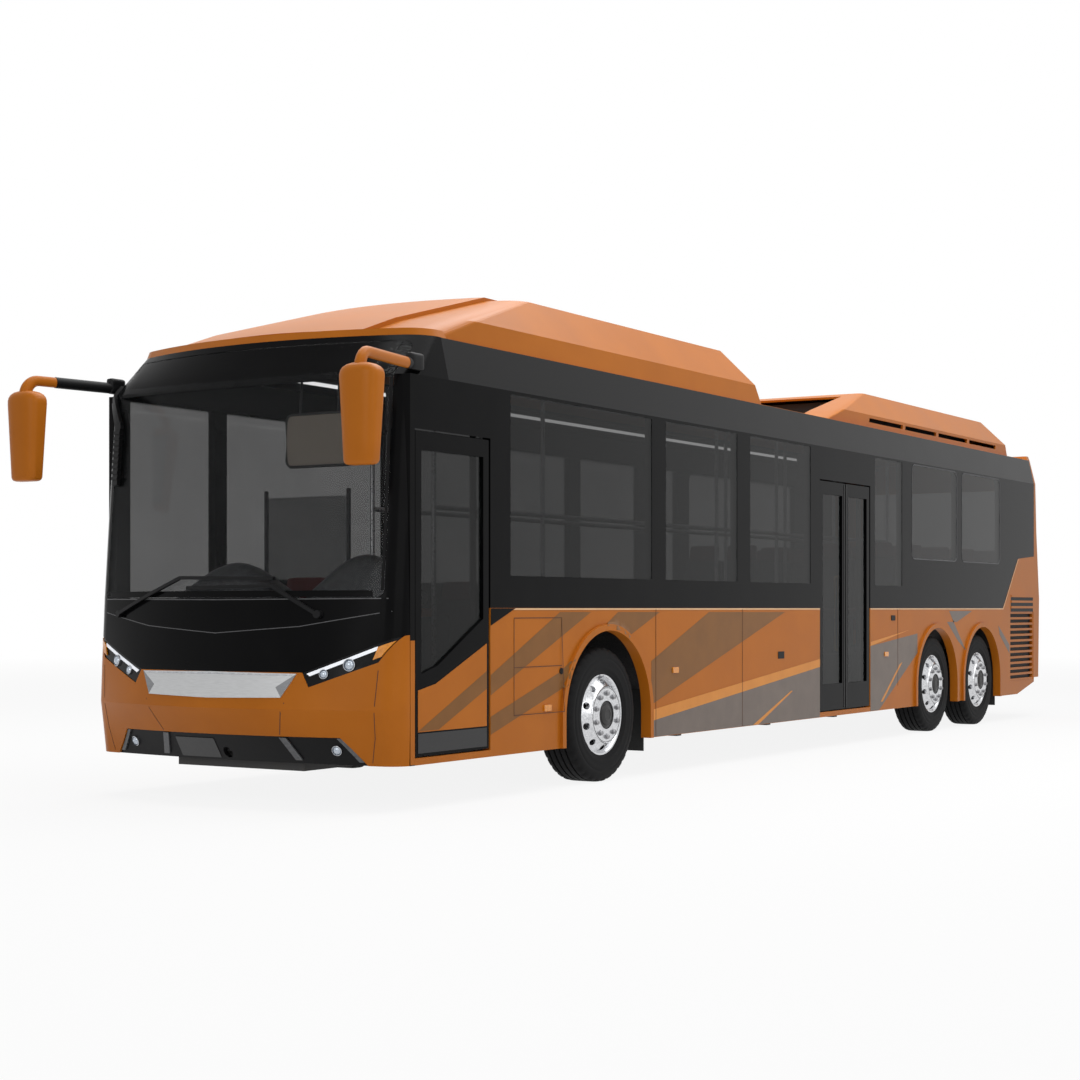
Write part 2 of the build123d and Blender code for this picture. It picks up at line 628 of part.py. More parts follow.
with BuildPart() as underframe:
    for side in (1, -1):
        x_range = sorted((side * (RAIL_X - RAIL_WIDTH / 2), side * (RAIL_X + RAIL_WIDTH / 2)))
        block(x_range, (TOW_FRONT_Y, STEP_Y), (LOW_RAIL_TOP - RAIL_DEPTH, LOW_RAIL_TOP))
        block(x_range, (STEP_Y, STEP_Y + RAIL_WIDTH), (LOW_RAIL_TOP - RAIL_DEPTH, HIGH_RAIL_TOP))
        block(x_range, (STEP_Y, TAIL_JOINT_Y + 60), (HIGH_RAIL_TOP - HIGH_RAIL_DEPTH, HIGH_RAIL_TOP))
        for y in JACK_PADS:
            pad = sorted((side * (RAIL_X - JACK_PAD / 2), side * (RAIL_X + JACK_PAD / 2)))
            block(pad, (y - JACK_PAD / 2, y + JACK_PAD / 2), (JACK_Z, LOW_RAIL_TOP - RAIL_DEPTH))
    for y in CROSS_MEMBERS:
        block((-INSIDE, INSIDE), (y - 35, y + 35), (LOW_RAIL_TOP - 60, LOW_RAIL_TOP))
    for y in HIGH_CROSS_MEMBERS:
        block((-RAIL_X, RAIL_X), (y - 40, y + 40), (HIGH_RAIL_TOP - 100, HIGH_RAIL_TOP))
    block((-RAIL_X, RAIL_X), (TOW_FRONT_Y, TOW_FRONT_Y + 100), (LOW_RAIL_TOP - RAIL_DEPTH, LOW_RAIL_TOP))
    with Locations(Location((0, TOW_FRONT_Y + 50, TOW_Z), (90, 0, 0))):
        Cylinder(TOW_BOSS, 100)
    with Locations(Location((0, TOW_FRONT_Y + TOW_DEPTH / 2, TOW_Z), (90, 0, 0))):
        Cylinder(TOW_RADIUS, TOW_DEPTH, mode=Mode.SUBTRACT)
    block((-RAIL_X - RAIL_WIDTH, RAIL_X + RAIL_WIDTH),
          (FRONT_AXLE_Y - AXLE_BEAM[0] - 1, FRONT_AXLE_Y + AXLE_BEAM[0] + 1), (0, AXLE_BEAM[2]),
          mode=Mode.SUBTRACT)
save(underframe.part, "underframe")

# Front axle: a dropped beam under the floor that rises to the kingpins.
KINGPIN = 28
EYE_LOW = TYRE_RADIUS - 49
EYE_HIGH = TYRE_RADIUS + 49
LUG = 37
LUG_CLEAR = 8
BEAM = ((0, AXLE_BEAM[2]), (RAIL_X + 160, AXLE_BEAM[2]), (KINGPIN_X - 90, EYE_HIGH), (KINGPIN_X, EYE_HIGH),
        (KINGPIN_X, EYE_LOW), (KINGPIN_X - 50, EYE_LOW), (RAIL_X + 200, AXLE_BEAM[1]), (0, AXLE_BEAM[1]))
with BuildPart() as front_axle:
    with BuildSketch(Plane.XZ.offset(-FRONT_AXLE_Y)):
        mirrored_outline(BEAM)
    extrude(amount=AXLE_BEAM[0] - FIT, both=True)
    with Locations((KINGPIN_X, FRONT_AXLE_Y, TYRE_RADIUS), (-KINGPIN_X, FRONT_AXLE_Y, TYRE_RADIUS)):
        Cylinder(50, EYE_HIGH - EYE_LOW)
        Cylinder(KINGPIN, EYE_HIGH - EYE_LOW + 2 * (LUG + LUG_CLEAR))
save(front_axle.part, "front_axle")

# Knuckles: two lugs on the kingpin, a web and the hub.
KNUCKLE_WEB = (KINGPIN_X + 60, KINGPIN_X + 95)
HUB_END = WHEEL_X + 96
for name, side in (("left", 1), ("right", -1)):
    with BuildPart() as knuckle:
        high = EYE_HIGH + LUG_CLEAR
        low = EYE_LOW - LUG_CLEAR
        for foot, head in ((low - LUG, low), (high, high + LUG)):
            with Locations((side * KINGPIN_X, FRONT_AXLE_Y, (foot + head) / 2)):
                Cylinder(48, LUG)
            block(sorted((side * KINGPIN_X, side * KNUCKLE_WEB[1])),
                  (FRONT_AXLE_Y - 40, FRONT_AXLE_Y + 40), (foot, head))
        block(sorted((side * KNUCKLE_WEB[0], side * KNUCKLE_WEB[1])),
              (FRONT_AXLE_Y - 45, FRONT_AXLE_Y + 45), (low - LUG, high + LUG))
        hub_length = HUB_END - KNUCKLE_WEB[1]
        with Locations(Location((side * (HUB_END - hub_length / 2), FRONT_AXLE_Y, TYRE_RADIUS), (0, 90, 0))):
            Cylinder(HUB_RADIUS, hub_length)
        with Locations((side * KINGPIN_X, FRONT_AXLE_Y, TYRE_RADIUS)):
            Cylinder(KINGPIN + FIT, high - low + 3 * LUG, mode=Mode.SUBTRACT)
    save(knuckle.part, f"knuckle_{name}")

# Rear axles: the driven one round its motor, the tag one a plain tube, both on spring seats.
# Columns: axle y, tube radius, motor half sizes or none.
SPRING_RADIUS = 70
MOTOR = (300, 260, 300, 690)
HUB_INNER = WHEEL_X - 60
with BuildPart() as rear_axles:
    for axle_y, tube, driven in ((DRIVE_AXLE_Y, 80, True), (TAG_AXLE_Y, 60, False)):
        with Locations(Location((0, axle_y, TYRE_RADIUS), (0, 90, 0))):
            Cylinder(tube, 2 * HUB_INNER)
        for side in (1, -1):
            x = side * (HUB_INNER + HUB_END) / 2
            with Locations(Location((x, axle_y, TYRE_RADIUS), (0, 90, 0))):
                Cylinder(HUB_RADIUS, HUB_END - HUB_INNER)
            seat = HIGH_RAIL_TOP - HIGH_RAIL_DEPTH - TYRE_RADIUS
            with Locations((side * RAIL_X, axle_y, TYRE_RADIUS + seat / 2)):
                Cylinder(SPRING_RADIUS, seat)
        if driven:
            half_x, half_y, low, high = MOTOR
            block((-half_x, half_x), (axle_y - half_y, axle_y + half_y), (low, high))
save(rear_axles.part, "rear_axles")

# Wheels. Columns: name, axle y, side.
WHEELS = (
    ("front_left", FRONT_AXLE_Y, 1),
    ("front_right", FRONT_AXLE_Y, -1),
    ("drive_left", DRIVE_AXLE_Y, 1),
    ("drive_right", DRIVE_AXLE_Y, -1),
    ("tag_left", TAG_AXLE_Y, 1),
    ("tag_right", TAG_AXLE_Y, -1),
)
TYRE_SHOULDER = 112
TYRE_BULGE = 400
TYRE_BEAD = 118
HAND_HOLES = 10
for name, axle_y, side in WHEELS:
    half = TYRE_WIDTH / 2
    with BuildPart() as tyre:
        with BuildSketch(Plane.XY):
            with BuildLine():
                Polyline((-TYRE_BEAD, RIM_RADIUS + FIT), (-half, TYRE_BULGE), (-TYRE_SHOULDER, TYRE_RADIUS),
                         (TYRE_SHOULDER, TYRE_RADIUS), (half, TYRE_BULGE), (TYRE_BEAD, RIM_RADIUS + FIT),
                         close=True)
            make_face()
        revolve(axis=Axis.X)
    with BuildPart() as rim:
        with BuildSketch(Plane.XY):
            with BuildLine():
                Polyline((-TYRE_BEAD, RIM_RADIUS), (TYRE_BEAD, RIM_RADIUS), (60, RIM_RADIUS - 29),
                         (92, HUB_RADIUS + HUB_CLEAR), (76, HUB_RADIUS + HUB_CLEAR), (42, RIM_RADIUS - 31), close=True)
            make_face()
        revolve(axis=Axis.X)
        with BuildSketch(Plane.YZ):
            with PolarLocations(205, HAND_HOLES):
                Rectangle(44, 56)
        extrude(amount=120, mode=Mode.SUBTRACT)
    place = Location((side * WHEEL_X, axle_y, TYRE_RADIUS), (0, 0, 0 if side > 0 else 180))
    save(tyre.part.moved(place), f"tyre_{name}")
    save(rim.part.moved(place), f"rim_{name}")

# Rubber mudflaps behind the front and tag wheels.
FLAP = (TYRE_WIDTH + 20, 12, 180, LOW_FLOOR_Z)
with BuildPart() as mudflaps:
    for side in (1, -1):
        for housing, top in ((FRONT_HOUSING, 640), (REAR_HOUSING, HIGH_FLOOR_Z)):
            rear = housing[2]
            block(sorted((side * (WHEEL_X - FLAP[0] / 2), side * INSIDE)), (rear - FLAP[1], rear),
                  (FLAP[2], top))
save(mudflaps.part, "mudflaps")

# Door leaves on turning pillars. Columns: name, start, end, top, arm reach, way the leaf opens.
DOORS = (
    ("front_door", FRONT_DOOR_Y, FRONT_DOOR_END, FRONT_DOOR_TOP, FRONT_ARM_REACH, 1),
    ("mid_door_front", MID_DOOR_Y, MID_DOOR_SPLIT + DOOR_GAP / 2, MID_DOOR_TOP, MID_ARM_REACH, -1),
    ("mid_door_rear", MID_DOOR_SPLIT - DOOR_GAP / 2, MID_DOOR_END, MID_DOOR_TOP, MID_ARM_REACH, 1),
)
LEAF_FRAME = 62
LEAF_HEAD = 125
LEAF_FOOT = 230
LOW_ARM_Z = LOW_FLOOR_Z + 110
ARM_BELOW_TOP = 66
ARM_HEIGHT = 40
ARM_WIDTH = 24
ARM_EYE = 18
PIVOT_PIN = 8
PILLAR_RADIUS = 22
LEAF_OUT_X = HALF - LEAF_INSET
LEAF_IN_X = LEAF_OUT_X - LEAF_THICK
PILLAR_X = HALF - PILLAR_INSET
PIVOT_X = HALF - PIVOT_INSET
OPERATOR = (HALF - 220, 2600)


def glazing(start, end, top, slanted, shrink=0.0, mode=Mode.ADD):
    """A leaf's glass outline, on a sketch of the side."""
    left = start + LEAF_FRAME + shrink
    right = end - LEAF_FRAME - shrink
    high = top - LEAF_HEAD - shrink
    if slanted:
        foot = ((right, 1170 + shrink), (left + 0.25 * (right - left), 880 + shrink), (left, 834 + shrink))
    else:
        foot = ((right, SILL_TOP + LEAF_FOOT + shrink), (left, SILL_TOP + LEAF_FOOT + shrink))
    with BuildLine(mode=Mode.PRIVATE) as edge:
        Polyline((left, high), (right, high), *foot, close=True)
    make_face(edge.edges(), mode=mode)


for name, start, end, top, reach, way in DOORS:
    leaf_range = (start + DOOR_GAP, end - DOOR_GAP)
    slanted = name == "front_door"
    arm_levels = (LOW_ARM_Z, top - ARM_BELOW_TOP)
    pillar_y = (end if way > 0 else start) - way * PILLAR_FROM_EDGE
    pivot_y = pillar_y - way * reach
    radius = sqrt(reach**2 + (PILLAR_INSET - PIVOT_INSET) ** 2)
    end_x = PILLAR_INSET - PIVOT_INSET + DOOR_OUT
    sweep = degrees(atan2(reach, PILLAR_INSET - PIVOT_INSET) + atan2(sqrt(radius**2 - end_x**2), end_x))

    with BuildPart() as leaf:
        with BuildSketch(Plane.YZ.offset(LEAF_IN_X)):
            panel(*leaf_range, SILL_TOP, top - DOOR_GAP)
            glazing(*leaf_range, top, slanted, mode=Mode.SUBTRACT)
        extrude(amount=LEAF_THICK)
        for level in arm_levels:
            for foot in (level - ARM_HEIGHT / 2 - 14, level + ARM_HEIGHT / 2 + 2):
                block((PIVOT_X - 16, LEAF_IN_X), (pivot_y - 16, pivot_y + 16), (foot, foot + 12))
            with Locations((PIVOT_X, pivot_y, level)):
                Cylinder(PIVOT_PIN, ARM_HEIGHT + 10)
    save(leaf.part, f"{name}_leaf")

    with BuildPart() as pane:
        with BuildSketch(Plane.YZ.offset(LEAF_IN_X + 12)):
            glazing(*leaf_range, top, slanted, FIT)
        extrude(amount=GLASS)
    save(pane.part, f"{name}_glass")

    # The arm's route is drawn as it lies when the leaf stands open, then turned back.
    open_x = end_x
    open_y = sqrt(radius**2 - end_x**2)
    with BuildPart() as arms:
        for level in arm_levels:
            with BuildSketch(Plane.XY.offset(level - ARM_HEIGHT / 2)):
                with BuildLine(mode=Mode.PRIVATE) as route:
                    FilletPolyline((0, 0), (open_x - 45, way * 5), (open_x - 5, way * 65), (open_x, way * open_y),
                                   radius=25)
                trace(route.edges(), ARM_WIDTH)
                with Locations((open_x, way * open_y)):
                    Circle(ARM_EYE)
            extrude(amount=ARM_HEIGHT)
        foot = LOW_FLOOR_Z + FIT
        head = top + 10
        with Locations((0, 0, (foot + head) / 2)):
            Cylinder(PILLAR_RADIUS, head - foot)
        with Locations((open_x, way * open_y, top / 2)):
            Cylinder(PIVOT_PIN + FIT, 2 * top, mode=Mode.SUBTRACT)
    turned = Location((PILLAR_X, pillar_y, 0), (0, 0, -way * sweep))
    save(arms.part.moved(turned), f"{name}_arms")

# Door operator boxes over the doorways, which hold the pillars' heads.
with BuildPart() as door_operators:
    for start, end, top in ((FRONT_DOOR_Y, FRONT_DOOR_END, FRONT_DOOR_TOP),
                            (MID_DOOR_Y, MID_DOOR_END, MID_DOOR_TOP)):
        block((OPERATOR[0], INSIDE), (start, end), (top + 10 + FIT, OPERATOR[1]))
save(door_operators.part, "door_operators")

# Dashboard with the driver's wheel on the right-hand side.
DASH_X = (-INSIDE + 60, 620)
DASH_Y = NOSE_JOINT_Y + 60
DRIVER_X = -650
WHEEL_RIM = 220
with BuildPart() as dashboard:
    with BuildSketch(Plane.YZ.offset(DASH_X[0])):
        with BuildLine():
            Polyline((DASH_Y, LOW_FLOOR_Z), (DASH_Y, 1180), (DASH_Y + 130, 1200), (DASH_Y + 400, 1040),
                     (DASH_Y + 330, 850), (DASH_Y + 120, 700), (DASH_Y + 120, LOW_FLOOR_Z), close=True)
        make_face()
    extrude(amount=DASH_X[1] - DASH_X[0])
    wheel_plane = Plane(origin=(DRIVER_X, DASH_Y + 480, 1120), z_dir=(0, 0.5, 0.87))
    with BuildSketch(wheel_plane):
        Circle(WHEEL_RIM + 15)
        Circle(WHEEL_RIM - 15, mode=Mode.SUBTRACT)
        Rectangle(2 * WHEEL_RIM, 40)
        with Locations((0, -WHEEL_RIM / 2)):
            Rectangle(40, WHEEL_RIM)
        Circle(55)
    extrude(amount=24)
    with BuildSketch(wheel_plane):
        Circle(40)
    extrude(amount=-320)
save(dashboard.part, "dashboard")

# Seats: pairs on pedestals. Columns: floor level, first row y, row pitch, rows, sides.
SEAT_WIDTH = 850
SEAT_INNER_X = 300
CUSHION_DEPTH = 430
CUSHION_TOP = 440
CUSHION_THICK = 90
BACK_HEIGHT = 640
LOW_ROW_Y = FRONT_HOUSING[2] + 420
SEAT_ROWS = (
    (LOW_FLOOR_Z, LOW_ROW_Y, (MID_DOOR_Y - 480 - LOW_ROW_Y) / 3, 4, (1,)),
    (LOW_FLOOR_Z, LOW_ROW_Y, (STEP_Y - 350 - LOW_ROW_Y) / 5, 6, (-1,)),
    (HIGH_FLOOR_Z, STEP_Y + 420, (TAIL_JOINT_Y - STEP_Y - 700) / 5, 6, (1, -1)),
)
DRIVER_SEAT = (DRIVER_X, DASH_Y + 1050, LOW_FLOOR_Z, 480)
SEATS = [(side * (SEAT_INNER_X + SEAT_WIDTH / 2), first + row * pitch, floor, SEAT_WIDTH)
         for floor, first, pitch, rows, sides in SEAT_ROWS for side in sides for row in range(rows)]
SEATS.append(DRIVER_SEAT)
with BuildPart() as seat_bases:
    for x, y, floor, width in SEATS:
        block((x - width / 2, x + width / 2), (y - CUSHION_DEPTH / 2, y + CUSHION_DEPTH / 2),
              (floor + CUSHION_TOP - CUSHION_THICK, floor + CUSHION_TOP))
        inner = x - 0.15 * width if x > 0 else x + 0.15 * width
        block((inner - 60, inner + 60), (y - 120, y + 120), (floor, floor + CUSHION_TOP - CUSHION_THICK))
save(seat_bases.part, "seat_bases")

with BuildPart() as seat_backs:
    for x, y, floor, width in SEATS:
        rear = y + CUSHION_DEPTH / 2
        seat_top = floor + CUSHION_TOP + FIT
        with BuildSketch(Plane.YZ.offset(x - width / 2)):
            with BuildLine():
                Polyline((rear - 90, seat_top), (rear, seat_top), (rear + 110, seat_top + BACK_HEIGHT),
                         (rear + 50, seat_top + BACK_HEIGHT), close=True)
            make_face()
        extrude(amount=width)
save(seat_backs.part, "seat_backs")

# Handrails: posts from floor to ceiling tied by two lengthwise bars.
POST_X = 270
POST_RADIUS = 17
RAIL_Z = 1950
CEILING_Z = ROOF_CROWN_Z - WALL - 6
LOW_POSTS = (FRONT_AXLE_Y - 750, FRONT_AXLE_Y + 700, MID_DOOR_Y - 60, MID_DOOR_END + 60)
HIGH_POSTS = (DRIVE_AXLE_Y - 300, TAG_AXLE_Y - 200)
with BuildPart() as handrails:
    for side in (1, -1):
        for posts, floor in ((LOW_POSTS, LOW_FLOOR_Z), (HIGH_POSTS, HIGH_FLOOR_Z)):
            for y in posts:
                with Locations((side * POST_X, y, (floor + CEILING_Z) / 2)):
                    Cylinder(POST_RADIUS, CEILING_Z - floor)
        length = HIGH_POSTS[-1] - LOW_POSTS[0]
        with Locations(Location((side * POST_X, LOW_POSTS[0] + length / 2, RAIL_Z), (90, 0, 0))):
            Cylinder(POST_RADIUS, length)
save(handrails.part, "handrails")
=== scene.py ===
from math import cos, floor, hypot, pi, radians, sin, tau

import bmesh
import bpy
from mathutils import Matrix, Vector
from mathutils.bvhtree import BVHTree


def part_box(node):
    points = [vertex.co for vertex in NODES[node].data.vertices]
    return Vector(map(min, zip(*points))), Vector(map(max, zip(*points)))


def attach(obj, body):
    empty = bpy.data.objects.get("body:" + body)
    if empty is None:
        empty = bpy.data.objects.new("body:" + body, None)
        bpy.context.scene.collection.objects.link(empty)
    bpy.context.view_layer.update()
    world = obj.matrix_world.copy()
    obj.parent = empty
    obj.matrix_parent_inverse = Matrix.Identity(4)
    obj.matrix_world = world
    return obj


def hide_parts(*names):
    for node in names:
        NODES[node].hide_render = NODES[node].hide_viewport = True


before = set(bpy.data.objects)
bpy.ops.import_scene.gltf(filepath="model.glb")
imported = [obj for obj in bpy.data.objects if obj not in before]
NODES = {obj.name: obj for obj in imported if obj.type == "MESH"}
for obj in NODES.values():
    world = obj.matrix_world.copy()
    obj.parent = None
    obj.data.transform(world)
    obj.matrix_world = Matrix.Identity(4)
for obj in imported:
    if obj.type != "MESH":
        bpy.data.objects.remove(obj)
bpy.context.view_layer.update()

# Running gear: welded steel rails, a forged front beam with its knuckles, and cast rear axles
# on air springs. All of it is sprayed black and carries road dust.


def srgb(red, green, blue):
    """A colour chart's 0-255 values as linear light."""
    shares = [c / 255 for c in (red, green, blue)]
    return tuple(((c + 0.055) / 1.055) ** 2.4 if c > 10 / 255 else c / 12.92 for c in shares) + (1,)


def finish(name, dark, light, grain, rough, bump=0.0, stretch=(1, 1, 1), **sockets):
    """A surface whose tone, gloss and relief drift with a noise of that grain."""
    material = bpy.data.materials.new(name)
    material.use_nodes = True
    tree = material.node_tree
    shader = tree.nodes["Principled BSDF"]
    place = tree.nodes.new("ShaderNodeTexCoord")
    scaled = tree.nodes.new("ShaderNodeMapping")
    scaled.inputs["Scale"].default_value = stretch
    noise = tree.nodes.new("ShaderNodeTexNoise")
    noise.inputs["Scale"].default_value = grain
    noise.inputs["Detail"].default_value = 5
    tone = tree.nodes.new("ShaderNodeValToRGB")
    tone.color_ramp.elements[0].position = 0.3
    tone.color_ramp.elements[1].position = 0.7
    tone.color_ramp.elements[0].color = dark
    tone.color_ramp.elements[1].color = light
    gloss = tree.nodes.new("ShaderNodeMapRange")
    gloss.inputs["To Min"].default_value = rough[0]
    gloss.inputs["To Max"].default_value = rough[1]
    link = tree.links.new
    link(place.outputs["Object"], scaled.inputs["Vector"])
    link(scaled.outputs["Vector"], noise.inputs["Vector"])
    link(noise.outputs["Fac"], tone.inputs["Fac"])
    link(noise.outputs["Fac"], gloss.inputs["Value"])
    link(tone.outputs["Color"], shader.inputs["Base Color"])
    link(gloss.outputs["Result"], shader.inputs["Roughness"])
    if bump:
        relief = tree.nodes.new("ShaderNodeBump")
        relief.inputs["Strength"].default_value = 0.4
        relief.inputs["Distance"].default_value = bump
        link(noise.outputs["Fac"], relief.inputs["Height"])
        link(relief.outputs["Normal"], shader.inputs["Normal"])
    for socket, value in sockets.items():
        shader.inputs[socket.replace("_", " ")].default_value = value
    return material


def dress(material, *names):
    """Give CAD nodes one finish."""
    for name in names:
        NODES[name].data.materials.clear()
        NODES[name].data.materials.append(material)


chassis_black = finish("chassis_black", srgb(24, 24, 25), srgb(46, 44, 42), 9, (0.45, 0.7), 0.002)
cast_iron = finish("cast_iron", srgb(30, 29, 29), srgb(54, 51, 49), 60, (0.5, 0.8), 0.002)
dress(chassis_black, "underframe", "roof_packs",
      "front_door_arms", "mid_door_front_arms", "mid_door_rear_arms")
dress(cast_iron, "front_axle", "rear_axles", "knuckle_left", "knuckle_right")

# Tyres: radial rubber, 275 wide on 22.5 inch rims, with four main grooves round the tread,
# notched shoulders and raised rings on the sidewalls.
WHEEL_PLACES = {}
for wheel in ("front_left", "front_right", "drive_left", "drive_right", "tag_left", "tag_right"):
    low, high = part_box("tyre_" + wheel)
    side = 1 if low.x > 0 else -1
    place = Matrix.Translation((low + high) / 2) @ Matrix.Rotation(0 if side > 0 else pi, 4, "Z")
    WHEEL_PLACES[wheel] = place
TYRE_RADIUS = 0.4788
TREAD_DEPTH = 0.015
SIDEWALL = (
    (0.117, 0.2885), (0.124, 0.292), (0.129, 0.302), (0.1295, 0.316), (0.1335, 0.322), (0.1345, 0.338),
    (0.1335, 0.342), (0.1375, 0.372), (0.1378, 0.395), (0.1362, 0.398), (0.1362, 0.404), (0.1372, 0.407),
    (0.135, 0.425), (0.130, 0.445), (0.122, 0.462), (0.113, 0.4715),
)
TREAD = (
    (0.105, TYRE_RADIUS - 0.003), (0.078, TYRE_RADIUS - 0.0006), (0.076, TYRE_RADIUS - TREAD_DEPTH),
    (0.066, TYRE_RADIUS - TREAD_DEPTH), (0.064, TYRE_RADIUS - 0.0004), (0.030, TYRE_RADIUS),
    (0.028, TYRE_RADIUS - TREAD_DEPTH), (0.018, TYRE_RADIUS - TREAD_DEPTH), (0.016, TYRE_RADIUS),
)
TYRE_STEPS = 144
NOTCH_EVERY = 4
NOTCH_DEPTH = 0.009
SHOULDER = range(len(SIDEWALL) - 2, len(SIDEWALL) + 1)


def lathe(outline, steps, closed=True, notched=()):
    """Points and faces of a solid of revolution about X, from its (offset, radius) outline."""
    count = len(outline)
    points = []
    for step in range(steps):
        for i, (along, radius) in enumerate(outline):
            if i in notched and step % NOTCH_EVERY == 0:
                radius -= NOTCH_DEPTH
            points.append((along, radius * cos(tau * step / steps), radius * sin(tau * step / steps)))
    faces = []
    for step in range(steps):
        here, there = step * count, (step + 1) % steps * count
        for i in range(count if closed else count - 1):
            j = (i + 1) % count
            faces.append((here + i, here + j, there + j, there + i))
    return points, faces


def moved(chunk, place):
    """Points and faces carried to a place."""
    points, faces = chunk
    return [tuple(place @ Vector(point)) for point in points], faces


def mesh_of(name, chunks, crease=32):
    """One mesh from several lots of points and faces: outward normals, creases at the sharp edges."""
    points, faces = [], []
    for some_points, some_faces in chunks:
        start = len(points)
        points += some_points
        faces += [[start + i for i in face] for face in some_faces]
    mesh = bpy.data.meshes.new(name)
    mesh.from_pydata(points, [], faces)
    work = bmesh.new()
    work.from_mesh(mesh)
    bmesh.ops.remove_doubles(work, verts=work.verts, dist=1e-6)
    bmesh.ops.recalc_face_normals(work, faces=work.faces)
    for face in work.faces:
        face.smooth = True
    for edge in work.edges:
        edge.smooth = len(edge.link_faces) == 2 and edge.calc_face_angle() < radians(crease)
    work.to_mesh(mesh)
    work.free()
    return mesh


def fit(name, chunks, material, body, place=None, crease=32):
    """Put a piece into the scene, riding on a body, with its finish."""
    mesh = mesh_of(name, chunks, crease)
    mesh.materials.append(material)
    piece = bpy.data.objects.new(name, mesh)
    bpy.context.scene.collection.objects.link(piece)
    if place:
        piece.matrix_world = place
    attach(piece, body)
    return piece


half_tyre = [*SIDEWALL, *TREAD]
tyre_outline = [*half_tyre, *[(-along, radius) for along, radius in reversed(half_tyre)]]
notched = {*SHOULDER, *[len(tyre_outline) - 1 - i for i in SHOULDER]}
tyre_rubber = finish("tyre_rubber", srgb(15, 15, 16), srgb(25, 25, 26), 35, (0.6, 0.85), 0.0006,
                     Specular_IOR_Level=0.15)
for wheel, place in WHEEL_PLACES.items():
    tyre = fit("tyre_rubber_" + wheel, [lathe(tyre_outline, TYRE_STEPS, notched=notched)], tyre_rubber,
               "wheel_" + wheel, place)
    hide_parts("tyre_" + wheel)

# Rims: forged aluminium with a convex polished disc, ten oval hand holes, ten capped nuts on the
# bolting ring and a dark hub in the middle.
RIM_OUTLINE = (
    (-0.118, 0.287), (0.118, 0.287), (0.114, 0.276), (0.100, 0.266), (0.104, 0.258), (0.148, 0.205),
    (0.154, 0.200), (0.160, 0.198), (0.160, 0.101), (0.134, 0.101), (0.134, 0.186), (0.076, 0.252),
    (-0.118, 0.272),
)
RIM_STEPS = 120
HAND_HOLES = 10
HOLE_RING = 0.233
HOLE_WIDE = 0.026
HOLE_DEEP = 0.020
HOLE_STEPS = 24
PUNCH_RUN = (0.02, 0.20)
NUT_RING = 0.154
RING_FACE = 0.160
NUT_OUTLINE = ((0, 0), (0, 0.021), (0.003, 0.021), (0.004, 0.0165), (0.016, 0.0165), (0.021, 0.012),
               (0.023, 0.006), (0.023, 0))
HUB_OUTLINE = ((0.0965, 0), (0.0965, 0.0985), (0.1500, 0.0985), (0.1520, 0.090), (0.1520, 0.074),
               (0.160, 0.070), (0.168, 0.052), (0.170, 0.040), (0.167, 0.036), (0.167, 0))
VALVE_OUTLINE = ((0, 0), (0, 0.006), (0.022, 0.005), (0.024, 0.0035), (0.036, 0.0035), (0.036, 0))
VALVE_SPOT = (0.104, 0, 0.262)
VALVE_LEAN = -25
# A thin dark ring just inside the step on the disc face: painted shade where the step's shadow falls.
STEP_SHADE_RING = ((0.1600, 0.1905), (0.1608, 0.1905), (0.1608, 0.1945), (0.1600, 0.1945))


def lofted(rings):
    """Points and faces of a solid through rings of as many points each, with closed ends."""
    count = len(rings[0])
    points = [tuple(point) for ring in rings for point in ring]
    faces = []
    for ring in range(len(rings) - 1):
        here, there = ring * count, (ring + 1) * count
        for i in range(count):
            j = (i + 1) % count
            faces.append((here + i, here + j, there + j, there + i))
    last = (len(rings) - 1) * count
    return points, [*faces, tuple(range(count)), tuple(range(last + count - 1, last - 1, -1))]


alloy = finish("polished_alloy", srgb(190, 191, 194), srgb(222, 223, 225), 70, (0.16, 0.28), 0.0002,
               Metallic=1)
nut_steel = finish("nut_steel", srgb(120, 120, 122), srgb(168, 168, 170), 90, (0.25, 0.4), 0.0003,
                   Metallic=1)
# The hub's dark finish also paints the step ring's shade.
hub_iron_and_step_shade = finish("hub_iron_and_step_shade", srgb(16, 16, 17), srgb(34, 33, 33), 80, (0.4, 0.6), 0.0008)
holes = []
for hole in range(HAND_HOLES):
    angles = [tau * step / HOLE_STEPS for step in range(HOLE_STEPS)]
    oval = [(HOLE_WIDE * cos(angle), HOLE_RING + HOLE_DEEP * sin(angle)) for angle in angles]
    plug = lofted([[(along, y, z) for y, z in oval] for along in PUNCH_RUN])
    holes.append(moved(plug, Matrix.Rotation(tau * hole / HAND_HOLES, 4, "X")))
disc = bpy.data.objects.new("disc", mesh_of("disc", [lathe(RIM_OUTLINE, RIM_STEPS)]))
punch = bpy.data.objects.new("punch", mesh_of("punch", holes))
for tool in (disc, punch):
    bpy.context.scene.collection.objects.link(tool)
pierce = disc.modifiers.new("pierce", "BOOLEAN")
pierce.object = punch
pierce.operation = "DIFFERENCE"
bpy.context.view_layer.update()
pierced = bpy.data.meshes.new_from_object(disc.evaluated_get(bpy.context.evaluated_depsgraph_get()))
disc_points = [tuple(vertex.co) for vertex in pierced.vertices]
disc_faces = [list(face.vertices) for face in pierced.polygons]
for tool in (disc, punch):
    bpy.data.objects.remove(tool)
